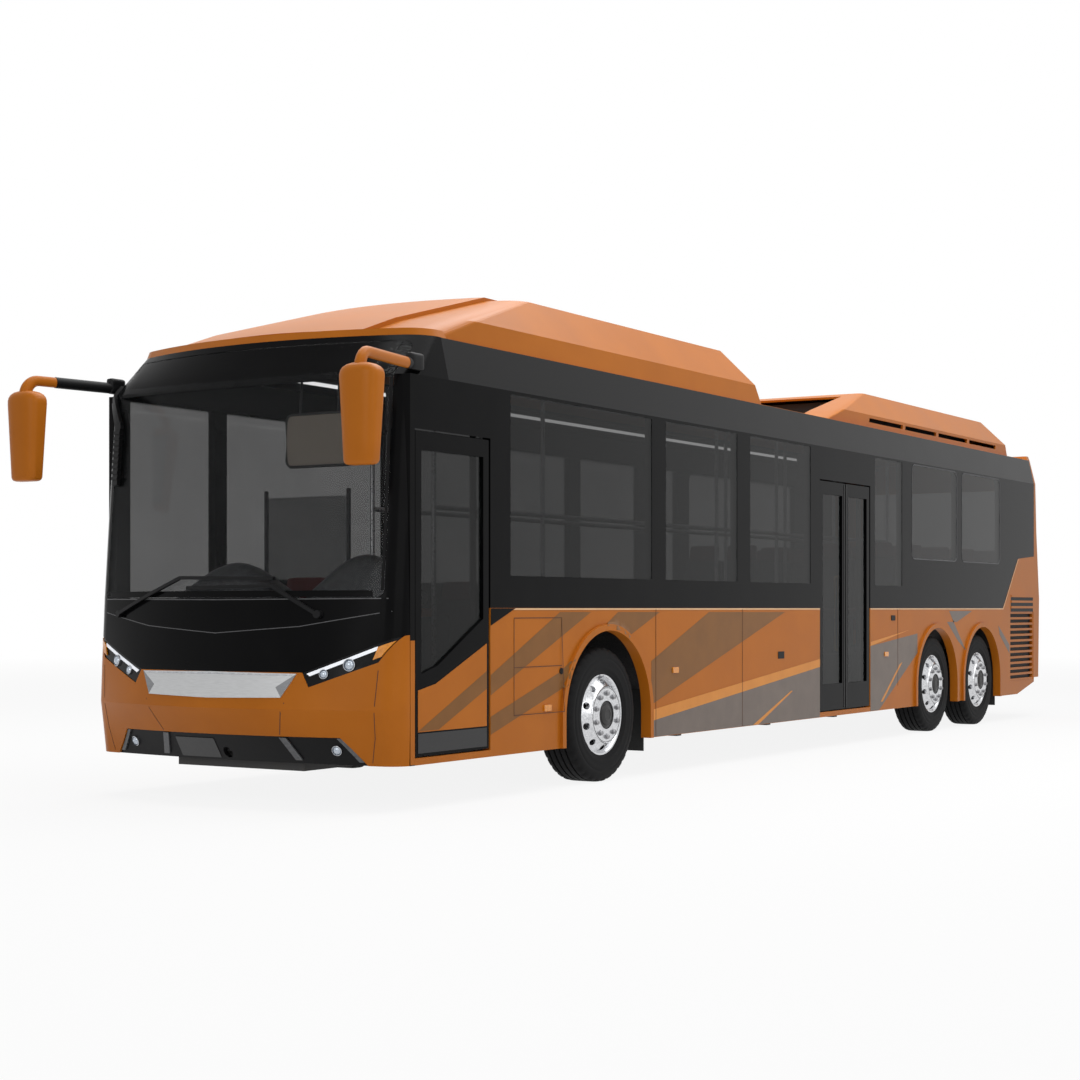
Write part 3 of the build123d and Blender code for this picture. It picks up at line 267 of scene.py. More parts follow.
for wheel, place in WHEEL_PLACES.items():
    rim = fit("rim_disc_" + wheel, [(disc_points, disc_faces)], alloy, "wheel_" + wheel,
              place, crease=25)
    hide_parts("rim_" + wheel)
    nuts = []
    for nut in range(HAND_HOLES):
        angle = tau * (nut + 0.5) / HAND_HOLES
        spot = Matrix.Translation((RING_FACE, NUT_RING * cos(angle), NUT_RING * sin(angle)))
        nuts.append(moved(lathe(NUT_OUTLINE, 12, closed=False), spot))
    valve = Matrix.Translation(VALVE_SPOT) @ Matrix.Rotation(radians(VALVE_LEAN), 4, "Y")
    nuts.append(moved(lathe(VALVE_OUTLINE, 10, closed=False), valve))
    fit("wheel_nuts_" + wheel, nuts, nut_steel, "wheel_" + wheel, place)
    # The hub cap piece also carries the dark step ring, painted shade on the disc face.
    hub_and_step_shade = [lathe(HUB_OUTLINE, 36, closed=False), lathe(STEP_SHADE_RING, 72)]
    fit("hub_cap_and_step_shade_" + wheel, hub_and_step_shade, hub_iron_and_step_shade, "wheel_" + wheel, place)

# Floor: plywood under speckled vinyl, turned up round the wheel housings, with mudflaps of
# moulded rubber hung behind the wheels.
floor_vinyl = finish("floor_vinyl", srgb(60, 60, 63), srgb(92, 91, 92), 160, (0.45, 0.6), 0.0004)
flap_rubber = finish("flap_rubber", srgb(18, 18, 18), srgb(30, 30, 30), 45, (0.6, 0.8), 0.001)
dress(floor_vinyl, "floor_deck")
dress(flap_rubber, "mudflaps")

# Body sides: steel panels bonded to the frame, orange enamel up to the waist, black glazing panels
# above it, and thin vinyl bands stuck across the flanks.
FRONT_AXLE, DRIVE_AXLE, TAG_AXLE = (
    WHEEL_PLACES[wheel].translation.y for wheel in ("front_left", "drive_left", "tag_left"))
AXLE_Z = WHEEL_PLACES["front_left"].translation.z
ARCHES = ((0, 0.600), (DRIVE_AXLE - FRONT_AXLE, 0.560), (TAG_AXLE - FRONT_AXLE, 0.560))
LIP_SHARE = 0.022
WAIST = 1.238
ORANGE = (srgb(178, 101, 24), srgb(187, 108, 29))
body_paint = finish("orange_enamel", *ORANGE, 2.2, (0.30, 0.38), Specular_IOR_Level=0.12)
black_gloss = finish("black_gloss", srgb(6, 6, 7), srgb(11, 11, 12), 3, (0.14, 0.22), Specular_IOR_Level=0.05)
black_plastic = finish("black_plastic", srgb(16, 16, 17), srgb(26, 26, 27), 240, (0.4, 0.55), 0.0003,
                       Specular_IOR_Level=0.12)
brown_vinyl = finish("brown_vinyl", srgb(126, 84, 40), srgb(134, 90, 44), 6, (0.32, 0.4),
                     Specular_IOR_Level=0.16)
grey_vinyl = finish("grey_vinyl", srgb(114, 103, 96), srgb(122, 111, 103), 6, (0.32, 0.4),
                    Specular_IOR_Level=0.16)
pale_vinyl = finish("pale_vinyl", srgb(214, 138, 58), srgb(222, 146, 64), 6, (0.3, 0.38),
                    Specular_IOR_Level=0.16)
line_vinyl = finish("line_vinyl", srgb(226, 186, 138), srgb(236, 198, 152), 8, (0.3, 0.38))
seam_dark = finish("seam_dark", srgb(70, 36, 12), srgb(84, 44, 16), 20, (0.6, 0.7))
amber_lens = finish("amber_lens", srgb(214, 128, 10), srgb(236, 150, 24), 60, (0.12, 0.2), Coat_Weight=0.4)
dress(body_paint, "left_lower_wall", "right_lower_wall", "front_bumper", "rear_wall", "rear_hatch",
      "side_grilles")
dress(black_gloss, "front_mask", "left_window_wall", "right_window_wall", "front_door_leaf",
      "mid_door_front_leaf", "mid_door_rear_leaf")
dress(black_plastic, "bumper_insert", "wipers", "door_operators")

# Each view gives the way it looks and where a point of a drawing in that view starts. Drawings of
# the sides are measured from the front axle.
FAR_OUT = 9
VIEWS = {
    "front": (Vector((0, 1, 0)), lambda u, v: Vector((u, -FAR_OUT, v))),
    "rear": (Vector((0, -1, 0)), lambda u, v: Vector((u, FAR_OUT, v))),
    "left": (Vector((-1, 0, 0)), lambda u, v: Vector((FAR_OUT, FRONT_AXLE + u, v))),
    "right": (Vector((1, 0, 0)), lambda u, v: Vector((-FAR_OUT, FRONT_AXLE + u, v))),
    "top": (Vector((0, 0, -1)), lambda u, v: Vector((u, v, FAR_OUT))),
}


def skin(*names):
    """The outer faces of some CAD nodes, to lay sheets on."""
    points, faces = [], []
    for name in names:
        start = len(points)
        points += [vertex.co.copy() for vertex in NODES[name].data.vertices]
        faces += [[start + i for i in face.vertices] for face in NODES[name].data.polygons]
    return BVHTree.FromPolygons(points, faces)


def laid(outline, surface, view, proud, thick, cell=None, keep=None):
    """Points and faces of a sheet cut to an outline in one view and laid on a surface."""
    look, start = VIEWS[view]
    work = bmesh.new()
    work.faces.new([work.verts.new((u, v, 0)) for u, v in outline])
    for axis in (0, 1) if cell else ():
        spots = [point[axis] for point in outline]
        cut = (floor(min(spots) / cell) + 1) * cell
        normal = Vector((1 - axis, axis, 0))
        while cut < max(spots) - 1e-5:
            geometry = [*work.verts, *work.edges, *work.faces]
            bmesh.ops.bisect_plane(work, geom=geometry, dist=1e-6, plane_co=normal * cut, plane_no=normal)
            cut += cell
    hits = {vert: surface.ray_cast(start(vert.co.x, vert.co.y), look)[0] for vert in work.verts}
    spare = []
    for face in work.faces:
        middle = face.calc_center_median()
        if any(hits[vert] is None for vert in face.verts) or (keep and not keep(middle.x, middle.y)):
            spare.append(face)
    bmesh.ops.delete(work, geom=spare, context="FACES")
    order = {vert: i for i, vert in enumerate(work.verts)}
    count = len(order)
    points = [tuple(hits[vert] - look * proud) for vert in order]
    points += [tuple(hits[vert] - look * (proud - thick)) for vert in order]
    faces = [[order[vert] for vert in face.verts] for face in work.faces]
    faces += [[order[vert] + count for vert in reversed(face.verts)] for face in work.faces]
    for edge in work.edges:
        if edge.is_boundary:
            a, b = (order[vert] for vert in edge.verts)
            faces.append([a, b, b + count, a + count])
    work.free()
    return points, faces


def line(spots, width, closed=False):
    """The outlines of the straight lengths of a line through spots."""
    ends = [*spots, spots[0]] if closed else spots
    outlines = []
    for (u0, v0), (u1, v1) in zip(ends, ends[1:]):
        length = hypot(u1 - u0, v1 - v0)
        along = ((u1 - u0) / length * width / 2, (v1 - v0) / length * width / 2)
        u0, v0, u1, v1 = u0 - along[0], v0 - along[1], u1 + along[0], v1 + along[1]
        outlines.append([(u0 - along[1], v0 + along[0]), (u1 - along[1], v1 + along[0]),
                         (u1 + along[1], v1 - along[0]), (u0 + along[1], v0 - along[0])])
    return outlines


def rect(u0, v0, u1, v1):
    """A rectangle's outline."""
    return [(u0, v0), (u1, v0), (u1, v1), (u0, v1)]


def round_rect(u0, v0, u1, v1, radius, steps=5):
    """A rectangle's outline with round corners."""
    outline = []
    for cu, cv, turn in ((u1 - radius, v1 - radius, 0), (u0 + radius, v1 - radius, 1),
                         (u0 + radius, v0 + radius, 2), (u1 - radius, v0 + radius, 3)):
        for step in range(steps + 1):
            angle = (turn + step / steps) * pi / 2
            outline.append((cu + radius * cos(angle), cv + radius * sin(angle)))
    return outline


def off_arches(u, v):
    """True outside the wheel arches' lips."""
    for axle, radius in ARCHES:
        reach = radius + LIP_SHARE
        if hypot(u - axle, v - AXLE_Z) < reach or (abs(u - axle) < reach and v < AXLE_Z):
            return False
    return True


VINYL = 0.0006
VINYL_CELL = 0.03
# Bands as (name, finish, layer, outline), each outline as (y, z) on the left flank.
BANDS = (
    ("brown_band_1", brown_vinyl, 1, ((-1.508, .805), (-1.508, .675), (-0.233, 1.21), (-0.65, 1.211))),
    ("brown_band_2", brown_vinyl, 1, ((-1.508, .537), (-1.508, .421), (-0.65, .679), (0.781, 1.209),
                                      (0.149, 1.21), (-0.65, .802))),
    ("brown_band_3", brown_vinyl, 1, ((1.584, 1.208), (2.993, 1.205), (0.645, .522), (0.645, .847))),
    ("pale_band_1", pale_vinyl, 2, ((0.647, .484), (0.647, .402), (3.718, .723), (3.718, .793))),
    ("pale_band_2", pale_vinyl, 2, ((4.875, .924), (4.875, .887), (5.85, 1.026))),
    ("grey_field_1", grey_vinyl, 1, ((0.647, .402), (0.647, .283), (3.718, .283), (3.718, .723))),
    ("grey_field_2", grey_vinyl, 1, ((4.875, .887), (6.075, .99), (6.075, .80), (5.083, .284),
                                    (4.875, .284))),
    ("grey_field_3", grey_vinyl, 1, ((6.964, 1.21), (7.657, 1.209), (7.2, 1.096), (6.905, 1.098),
                                    (7.23, .9), (7.472, .792))),
    ("grey_field_4", grey_vinyl, 1, ((8.505, 1.05), (8.545, .95), (8.875, .74), (8.885, .83))),
    ("pale_streak_1", pale_vinyl, 2, ((2.375, .284), (2.475, .284), (3.15, .535), (3.115, .535))),
    ("pale_streak_2", pale_vinyl, 2, ((5.125, .36), (5.175, .36), (5.675, .72), (5.605, .70))),
)
# More of them where the right flank has no doorways.
RIGHT_BANDS = (
    ("grey_field_5", grey_vinyl, 1, ((3.718, .283), (4.875, .284), (4.875, .887), (3.718, .723))),
    ("pale_band_3", pale_vinyl, 2, ((3.718, .723), (4.875, .887), (4.875, .924), (3.718, .793))),
    ("brown_band_4", brown_vinyl, 1, ((-2.303, .486), (-2.085, .486), (-1.508, .675), (-1.508, .805))),
    ("brown_band_5", brown_vinyl, 1, ((-1.508, .537), (-1.508, .421), (-1.965, .284), (-2.328, .284))),
)
FLAP_LINES = (rect(-1.230, .532, -.630, 1.172), ((-1.230, .846), (-.630, .846)))
WALL_JOINTS = ((.715, .29, 1.23), (2.175, .29, 1.23), (5.555, .50, 1.23))
RISE = ((8.660, WAIST), (9.177, 1.790), (9.745, 1.828))
MARKERS = ((-0.819, .564), (1.019, .770), (5.257, .805))
MARKER_HALF = (.045, .022)
LOCKS = ((round_rect(-.659, .786, -.615, .830, .0215, 8), 0.006),
         (round_rect(5.385, 1.12, 5.485, 1.17, .01), 0.005),
         (round_rect(2.853, .814, 2.973, .874, .006), 0.004))
DOORWAY_START = 3.718
SEAM_WIDE = 0.005
LINE_WIDE = 0.010
LINE_DROP = 0.008
# How far sheets stand out and how thick they are.
RISE_SHEET = (0.0016, 0.0014)
LINE_SHEET = (0.0022, 0.0010)
SEAM_SHEET = (0.0024, 0.0012)
MARKER_SHEET = (0.010, 0.0095)
WEDGE_SHEET = (0.0030, 0.0010)
for side, starts in (("left", (-1.508, 4.872)), ("right", (-2.388,))):
    flank = skin(side + "_lower_wall", side + "_window_wall")
    for name, vinyl, layer, outline in BANDS if side == "left" else BANDS + RIGHT_BANDS:
        band = laid(outline, flank, side, layer * VINYL + 0.0004, VINYL, VINYL_CELL, off_arches)
        fit(name + "_" + side, [band], vinyl, "coach_body")
    tuck = WAIST - .004
    rise = laid([*RISE, (RISE[2][0], tuck), (RISE[0][0], tuck)], flank, side, *RISE_SHEET)
    fit("tail_rise_" + side, [rise], body_paint, "coach_body")
    waist_line = []
    for start in starts:
        end = DOORWAY_START if start < 0 and side == "left" else RISE[0][0]
        waist_line += line(((start + .006, WAIST - .007), (end - .006, WAIST - .007)), LINE_WIDE)
    waist_line += line([(y + .006, z - LINE_DROP) for y, z in RISE[:2]], LINE_WIDE)
    waist_line += line([(y, z - LINE_DROP) for y, z in RISE[1:]], LINE_WIDE)
    stripes = [laid(outline, flank, side, *LINE_SHEET) for outline in waist_line]
    fit("waist_line_" + side, stripes, line_vinyl, "coach_body")
    seams = line(FLAP_LINES[0], SEAM_WIDE, closed=True) + line(FLAP_LINES[1], SEAM_WIDE)
    for y, foot, head in WALL_JOINTS:
        seams += line(((y, foot), (y, head)), SEAM_WIDE)
    joints = [laid(outline, flank, side, *SEAM_SHEET) for outline in seams]
    fit("panel_joints_" + side, joints, seam_dark, "coach_body")
    lenses = []
    for y, z in MARKERS:
        half_y, half_z = MARKER_HALF
        outline = round_rect(y - half_y, z - half_z, y + half_y, z + half_z, .008)
        lenses.append(laid(outline, flank, side, *MARKER_SHEET))
    fit("side_markers_" + side, lenses, amber_lens, "coach_body")
    locks = [laid(outline, flank, side, proud, proud - 0.0005) for outline, proud in LOCKS]
    fit("flap_locks_" + side, locks, black_plastic, "coach_body")
# Black vinyl wedge that carries the glazing's line down to the front doorway.
WEDGE = ((-1.508, WAIST - .002), (-1.215, WAIST - .002), (-1.508, 1.125))
wedge = laid(WEDGE, skin("left_lower_wall"), "left", *WEDGE_SHEET)
fit("doorway_wedge", [wedge], black_gloss, "coach_body")

# Bonded glazing: tinted toughened panes flush in the black walls, a laminated windscreen with a
# black printed border, thin grey seals round the two rear panes.


def pane(name, tint, hold, drift):
    """Tinted glass that holds back part of the light, a little unevenly, and mirrors its surroundings."""
    glass = finish(name, tint, tint, 1.5, (0.02, 0.05), Specular_IOR_Level=0.2)
    tree = glass.node_tree
    noise = next(node for node in tree.nodes if node.type == "TEX_NOISE")
    held = tree.nodes.new("ShaderNodeMapRange")
    held.inputs["To Min"].default_value = hold - drift
    held.inputs["To Max"].default_value = hold + drift
    tree.links.new(noise.outputs["Fac"], held.inputs["Value"])
    tree.links.new(held.outputs["Result"], tree.nodes["Principled BSDF"].inputs["Alpha"])
    return glass


side_glass = pane("side_glass", srgb(10, 12, 12), 0.62, 0.03)
screen_glass = pane("screen_glass", srgb(26, 28, 29), 0.24, 0.03)
seal_grey = finish("seal_grey", srgb(58, 58, 60), srgb(74, 74, 76), 60, (0.5, 0.6), 0.0003)
dress(side_glass, "body_glass", "front_door_glass", "mid_door_front_glass", "mid_door_rear_glass")
dress(screen_glass, "windscreen")
REAR_PANES = ((5.930, 1.720, 7.200, 2.640), (7.350, 1.720, 8.560, 2.640))
for side in ("left", "right"):
    wall = skin(side + "_window_wall", "body_glass")
    seals = []
    for pane_box in REAR_PANES:
        ring = round_rect(*pane_box, 0.070)
        for outline in line(ring, 0.010, closed=True):
            seals.append(laid(outline, wall, side, 0.0020, 0.0018))
    fit("pane_seals_" + side, seals, seal_grey, "coach_body")

# Windscreen print: a black ceramic border baked on the laminated glass, deep at the header and
# narrow at the sides and the foot, to hide the bond behind it.
screen = skin("windscreen")
SCREEN_EDGE = 1.146
PRINT_SIDE = 1.128
SCREEN_FOOT, PRINT_FOOT, PRINT_HEAD, SCREEN_HEAD = 1.306, 1.345, 2.640, 2.884
print_outlines = [
    rect(-SCREEN_EDGE, PRINT_HEAD, SCREEN_EDGE, SCREEN_HEAD),
    rect(-SCREEN_EDGE, SCREEN_FOOT, SCREEN_EDGE, PRINT_FOOT),
    rect(PRINT_SIDE, PRINT_FOOT, SCREEN_EDGE, PRINT_HEAD),
    rect(-SCREEN_EDGE, PRINT_FOOT, -PRINT_SIDE, PRINT_HEAD),
]
printed = [laid(outline, screen, "front", 0.0008, 0.0006, 0.06) for outline in print_outlines]
fit("screen_print", printed, black_gloss, "coach_body")

# Front mask: a gloss black plastic moulding clipped to the nose, with a fine grey joint under the screen.
# A grey line across it, dipping towards the middle, is a painted highlight along a shallow crease.
mask = skin("front_mask", "windscreen")
joint_grey_and_crease_highlight = finish("joint_grey_and_crease_highlight", srgb(62, 62, 64), srgb(80, 80, 82), 30, (0.4, 0.5))
# Painted highlight: the crease line is pale grey on the black mask, where light would catch the fold.
MASK_CREASE_HIGHLIGHT = ((-1.19, 1.218), (-.62, 1.125), (0, 1.082), (.62, 1.125), (1.19, 1.218))
MASK_JOINT = ((-1.17, 1.296), (0, 1.290), (1.17, 1.296))
mask_joint_and_highlight_lines = [laid(outline, mask, "front", 0.0016, 0.0012, 0.08)
              for outline in line(MASK_CREASE_HIGHLIGHT, 0.005) + line(MASK_JOINT, 0.006)]
fit("mask_joint_and_crease_highlight", mask_joint_and_highlight_lines, joint_grey_and_crease_highlight, "coach_body")

# Headlamps: black bezels with a white light strip along the brow, a small and a large round lens
# and an amber turn lamp at the outer end, behind a clear cover.
LED_STRIP = ((.690, .838), (.950, .938), (1.120, 1.006), (1.120, .984), (.950, .916), (.712, .824))
TURN_LAMP = ((1.128, 1.004), (1.212, 1.040), (1.146, .945), (1.098, .925))
LENSES = ((.800, .836, .030), (.955, .893, .039))
# Outlines of a lens, with depths drawn for a radius of 30 mm and radii as shares.
DRAWN_LENS = .03
BEZEL = ((0, 1.0), (0.010, 0.98), (0.012, 0.86), (0.004, 0.80), (0.004, 0.0))
BULGE = ((0.004, 0.80), (0.012, 0.62), (0.018, 0.34), (0.0195, 0.0))
lamp_black = finish("lamp_black", srgb(10, 10, 11), srgb(18, 18, 19), 60, (0.12, 0.2),
                    Specular_IOR_Level=0.12)
led_white = finish("led_white", srgb(226, 230, 236), srgb(244, 246, 250), 30, (0.2, 0.3),
                   Emission_Color=(0.9, 0.93, 1, 1), Emission_Strength=0.35)
chrome = finish("lamp_chrome", srgb(150, 152, 156), srgb(190, 192, 196), 50, (0.06, 0.12), Metallic=1)
lens_glass = finish("lens_glass", srgb(150, 162, 176), srgb(206, 214, 224), 120, (0.03, 0.08),
                    Metallic=0.55, Coat_Weight=1.0)
dress(lamp_black, "headlamps")
lamps = skin("headlamps")


def mirrored(outline, sign):
    """An outline on the left (1) or its like on the right (-1)."""
    return [(sign * u, v) for u, v in outline]


def round_lens(surface, x, z, radius):
    """A ring and a bulged glass of that radius, seated on a surface."""
    hit, normal = surface.ray_cast(Vector((x, -FAR_OUT, z)), Vector((0, 1, 0)))[:2]
    spot = Matrix.Translation(hit) @ normal.to_track_quat("X", "Z").to_matrix().to_4x4()
    sizes = [[(along * radius / DRAWN_LENS, share * radius) for along, share in outline]
             for outline in (BEZEL, BULGE)]
    return [moved(lathe(size, 32, closed=False), spot) for size in sizes]


for side, sign in (("left", 1), ("right", -1)):
    strip = laid(mirrored(LED_STRIP, sign), lamps, "front", 0.004, 0.0038, 0.05)
    fit("light_strip_" + side, [strip], led_white, "coach_body")
    turn = laid(mirrored(TURN_LAMP, sign), lamps, "front", 0.012, 0.0118, 0.04)
    fit("turn_lamp_" + side, [turn], amber_lens, "coach_body")
    rings, bulges = zip(*[round_lens(lamps, sign * x, z, radius) for x, z, radius in LENSES])
    fit("lamp_bezels_" + side, rings, chrome, "coach_body")
    fit("lamp_lenses_" + side, bulges, lens_glass, "coach_body", crease=60)

# Satin bar: a brushed aluminium pressing fixed between the lamps, with painted shade on its turned-in
# ends (a darker sheet of the same finish) and a bright bead along its upper edge.
BRUSHED = (1, 1, 30)
satin = finish("satin_trim", srgb(176, 177, 178), srgb(194, 195, 196), 18, (0.32, 0.40), 0.0001, BRUSHED,
               Metallic=0.8)
# Painted shade: a darker copy of the satin finish for the bar's turned-in ends.
bar_end_shade = finish("bar_end_shade", srgb(118, 119, 121), srgb(134, 135, 137), 18, (0.3, 0.4), 0.0001, BRUSHED,
                 Metallic=0.8)
dress(satin, "silver_bar")
bar = skin("silver_bar")
SHADED_BAR_END = ((.626, .834), (.541, .697), (.500, .755))
BAR_BEAD = ((-.60, .829), (0, .834), (.60, .829))
ends = [laid(mirrored(SHADED_BAR_END, sign), bar, "front", 0.0012, 0.0010, 0.05) for sign in (1, -1)]
fit("bar_end_shades", ends, bar_end_shade, "coach_body")
bead = [laid(outline, bar, "front", 0.0030, 0.0028, 0.06) for outline in line(BAR_BEAD, 0.006)]
fit("bar_bead", bead, chrome, "coach_body")

# Lower insert: textured black moulding with fog lamps, grey trims beside their pockets and a
# blank plate.
insert = skin("bumper_insert")
FOG_TRIMS = (((.455, .441), (.505, .441), (.590, .263), (.540, .263)),
             ((.850, .445), (.880, .445), (1.036, .265), (1.000, .265)))
FOG_X, FOG_Z, FOG_RADIUS = .830, .372, .034
FRONT_PLATE = round_rect(-.41, .292, -.07, .418, .008)
trim_grey = finish("trim_grey", srgb(78, 79, 81), srgb(98, 99, 101), 60, (0.35, 0.45), 0.0002, Metallic=0.4)
plate_black = finish("plate_black", srgb(20, 20, 21), srgb(32, 32, 33), 30, (0.3, 0.4))
trims = [laid(mirrored(outline, sign), insert, "front", 0.012, 0.0118, 0.05)
         for outline in FOG_TRIMS for sign in (1, -1)]
fog_rings, fog_lenses = zip(*[round_lens(insert, sign * FOG_X, FOG_Z, FOG_RADIUS) for sign in (1, -1)])
fit("fog_trims", trims, trim_grey, "coach_body")
fit("fog_rings", fog_rings, chrome, "coach_body")
fit("fog_lenses", fog_lenses, lens_glass, "coach_body", crease=60)
front_plate = laid(FRONT_PLATE, insert, "front", 0.004, 0.0035, 0.08)
fit("front_plate", [front_plate], plate_black, "coach_body")

# Bumper: orange plastic mouldings bolted to the nose, with fine joints where the corner panels meet
# the middle one.
bumper = skin("front_bumper")
MIDDLE_JOINT = ((.479, .462), (.565, .660))
CORNER_JOINT = ((1.065, .30), (1.10, .45), (1.13, .86))
creases = []
for sign in (1, -1):
    creases += line(mirrored(MIDDLE_JOINT, sign), 0.005) + line(mirrored(CORNER_JOINT, sign), 0.004)
joints = [laid(outline, bumper, "front", 0.0014, 0.0012, 0.06) for outline in creases]
fit("bumper_joints", joints, seam_dark, "coach_body")

# Mirrors: orange moulded shells on cranked arms, black where they clamp to pads on the pillars,
# ribbed boots over the clamps, silvered glass facing back.


def rounded_box(low, high, radius, cells=4, crown=0.0):
    """Points and faces of a box with round edges, crowned on top."""
    low, high = Vector(low), Vector(high)
    middle, half = (low + high) / 2, (high - low) / 2
    points, faces, seen = [], [], {}

    def corner(cube):
        if cube not in seen:
            at = Vector((cube[0] * half.x, cube[1] * half.y, cube[2] * half.z))
            core = Vector([max(-(h - radius), min(h - radius, c)) for c, h in zip(at, half)])
            away = at - core
            if away.length > 1e-9:
                at = core + away.normalized() * radius
            if cube[2] > 0:
                at.z += crown * (1 - cube[0] ** 2) * (1 - cube[1] ** 2) * cube[2]
            seen[cube] = len(points)
            points.append(tuple(middle + at))
        return seen[cube]

    ticks = [round(-1 + 2 * tick / cells, 6) for tick in range(cells + 1)]
    for axis in range(3):
        for end in (-1.0, 1.0):
            for i in range(cells):
                for j in range(cells):
                    ring = []
                    for a, b in ((i, j), (i + 1, j), (i + 1, j + 1), (i, j + 1)):
                        cube = [ticks[a], ticks[b]]
                        cube.insert(axis, end)
                        ring.append(corner(tuple(cube)))
                    faces.append(ring)
    return points, faces


MIRROR_X = 1.360
MIRROR_Y = FRONT_AXLE - 3.030
MIRROR_TOP = (2.600, .135, .075)
MIRROR_FOOT = (2.060, .105, .055)
HEAD_LEVELS = (
    (2.060, .72), (2.064, .86), (2.072, .95), (2.086, 1), (2.200, 1), (2.320, 1), (2.440, 1), (2.560, 1),
    (2.584, .985), (2.604, .93), (2.622, .82), (2.636, .64), (2.644, .42),
)
HEAD_POINTS = 48
ROUND_FRONT = 2.6
FLAT_BACK = 9
ARM_Z = 2.720
ARM_FOOT = (1.240, FRONT_AXLE - 2.360)
ARM_BEND = .100
ARM_HALF = (.025, .034)
ARM_STEPS = 24
ARM_POINTS = 20
NECK_START = .8
NECK_SWELL = .35
SLEEVE_SHARE = 1.08
SLEEVES = {"left": .09, "right": .62}
PAD_X = (1.215, 1.272)
PAD_LOW = (FRONT_AXLE - 2.400, 2.682)
PAD_HIGH = (FRONT_AXLE - 2.262, 2.788)


def mirror_head(sign):
    """A tapered shell with a bulged front and a flat back."""
    rings = []
    for level, share in HEAD_LEVELS:
        up = (level - MIRROR_FOOT[0]) / (MIRROR_TOP[0] - MIRROR_FOOT[0])
        wide, deep = (share * (low + (high - low) * up) for low, high in zip(MIRROR_FOOT[1:], MIRROR_TOP[1:]))
        ring = []
        for step in range(HEAD_POINTS):
            c, s = cos(tau * step / HEAD_POINTS), sin(tau * step / HEAD_POINTS)
            power = 2 / (FLAT_BACK if s > 0 else ROUND_FRONT)
            x = wide * (1 if c > 0 else -1) * abs(c) ** power
            y = deep * (1 if s > 0 else -1) * abs(s) ** power
            ring.append((sign * MIRROR_X + x, MIRROR_Y + y, level))
        rings.append(ring)
    return lofted(rings)


def mirror_arm(sign, start, end, share):
    """A length of the arm, between two shares of its way from the pad to the head."""
    foot = Vector((sign * ARM_FOOT[0], ARM_FOOT[1], ARM_Z))
    reach = Vector((sign * MIRROR_X, MIRROR_Y, ARM_Z)) - foot
    ahead, down = reach.normalized(), Vector((0, 0, -1))
    across = ahead.cross(down)
    straight = reach.length - ARM_BEND
    total = straight + ARM_BEND * pi / 2
    rings = []
    for step in range(ARM_STEPS + 1):
        way = (start + (end - start) * step / ARM_STEPS) * total
        turn = max(0, way - straight) / ARM_BEND
        spot = foot + ahead * (min(way, straight) + ARM_BEND * sin(turn)) + down * ARM_BEND * (1 - cos(turn))
        normal = across.cross(ahead * cos(turn) + down * sin(turn))
        swell = share * (1 + NECK_SWELL * max(0, way / total - NECK_START) / (1 - NECK_START))
        ring = []
        for i in range(ARM_POINTS):
            angle = tau * i / ARM_POINTS
            out, up = ARM_HALF[0] * swell * cos(angle), ARM_HALF[1] * swell * sin(angle)
            ring.append(spot + across * out + normal * up)
        rings.append(ring)
    return lofted(rings)


shells, sleeves = [], []
for side, sign in (("left", 1), ("right", -1)):
    shells += [mirror_head(sign), mirror_arm(sign, SLEEVES[side] - .02, 1, 1)]
    sleeves.append(mirror_arm(sign, 0, SLEEVES[side], SLEEVE_SHARE))
    near, far = sorted(sign * x for x in PAD_X)
    sleeves.append(rounded_box((near, *PAD_LOW), (far, *PAD_HIGH), .018, 6))
shell_piece = fit("mirror_shells", shells, body_paint, "coach_body", crease=40)
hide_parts("mirrors")
heads = skin("mirrors")
silvered = finish("silvered_glass", srgb(150, 156, 160), srgb(176, 182, 186), 2, (0.02, 0.05), Metallic=1)
mirror_rim = finish("mirror_rim", srgb(12, 12, 13), srgb(20, 20, 21), 120, (0.35, 0.5), 0.0003,
                    Specular_IOR_Level=0.15)
fit("mirror_sleeves", sleeves, mirror_rim, "coach_body", crease=40)
# Sheets on the back of a head as (half width at the top, its level, half width at the foot, its level).
FACE = (.112, 2.570, .090, 2.090)
GLASSES = ((.102, 2.556, .094, 2.330), (.092, 2.306, .083, 2.104))


def tapered(half_top, top, half_foot, foot):
    """The outline of a sheet that narrows downwards, centred on the left head."""
    return [(MIRROR_X + half_top, top), (MIRROR_X - half_top, top),
            (MIRROR_X - half_foot, foot), (MIRROR_X + half_foot, foot)]


for side, sign in (("left", 1), ("right", -1)):
    face = laid(mirrored(tapered(*FACE), sign), heads, "rear", 0.006, 0.0058, 0.05)
    fit("mirror_rim_" + side, [face], mirror_rim, "coach_body")
    glasses = [laid(mirrored(tapered(*row), sign), heads, "rear", 0.0075, 0.0014, 0.05) for row in GLASSES]
    fit("mirror_glass_" + side, glasses, silvered, "coach_body")
PILLAR_FOOT = ((-1.085, 2.080), (-1.085, 2.450), (-1.200, 2.700))
RIBS = 9
RIB_PITCH = .038
pillar = skin("front_mask", "windscreen")
boot = [laid(outline, pillar, "front", 0.030, 0.0296, 0.03) for outline in line(PILLAR_FOOT, 0.055)]
for rib in range(RIBS):
    z = 2.09 + RIB_PITCH * rib
    boot.append(laid(rect(-1.117, z, -1.053, z + .020), pillar, "front", 0.038, 0.0376))
fit("mirror_boot", boot, mirror_rim, "coach_body")

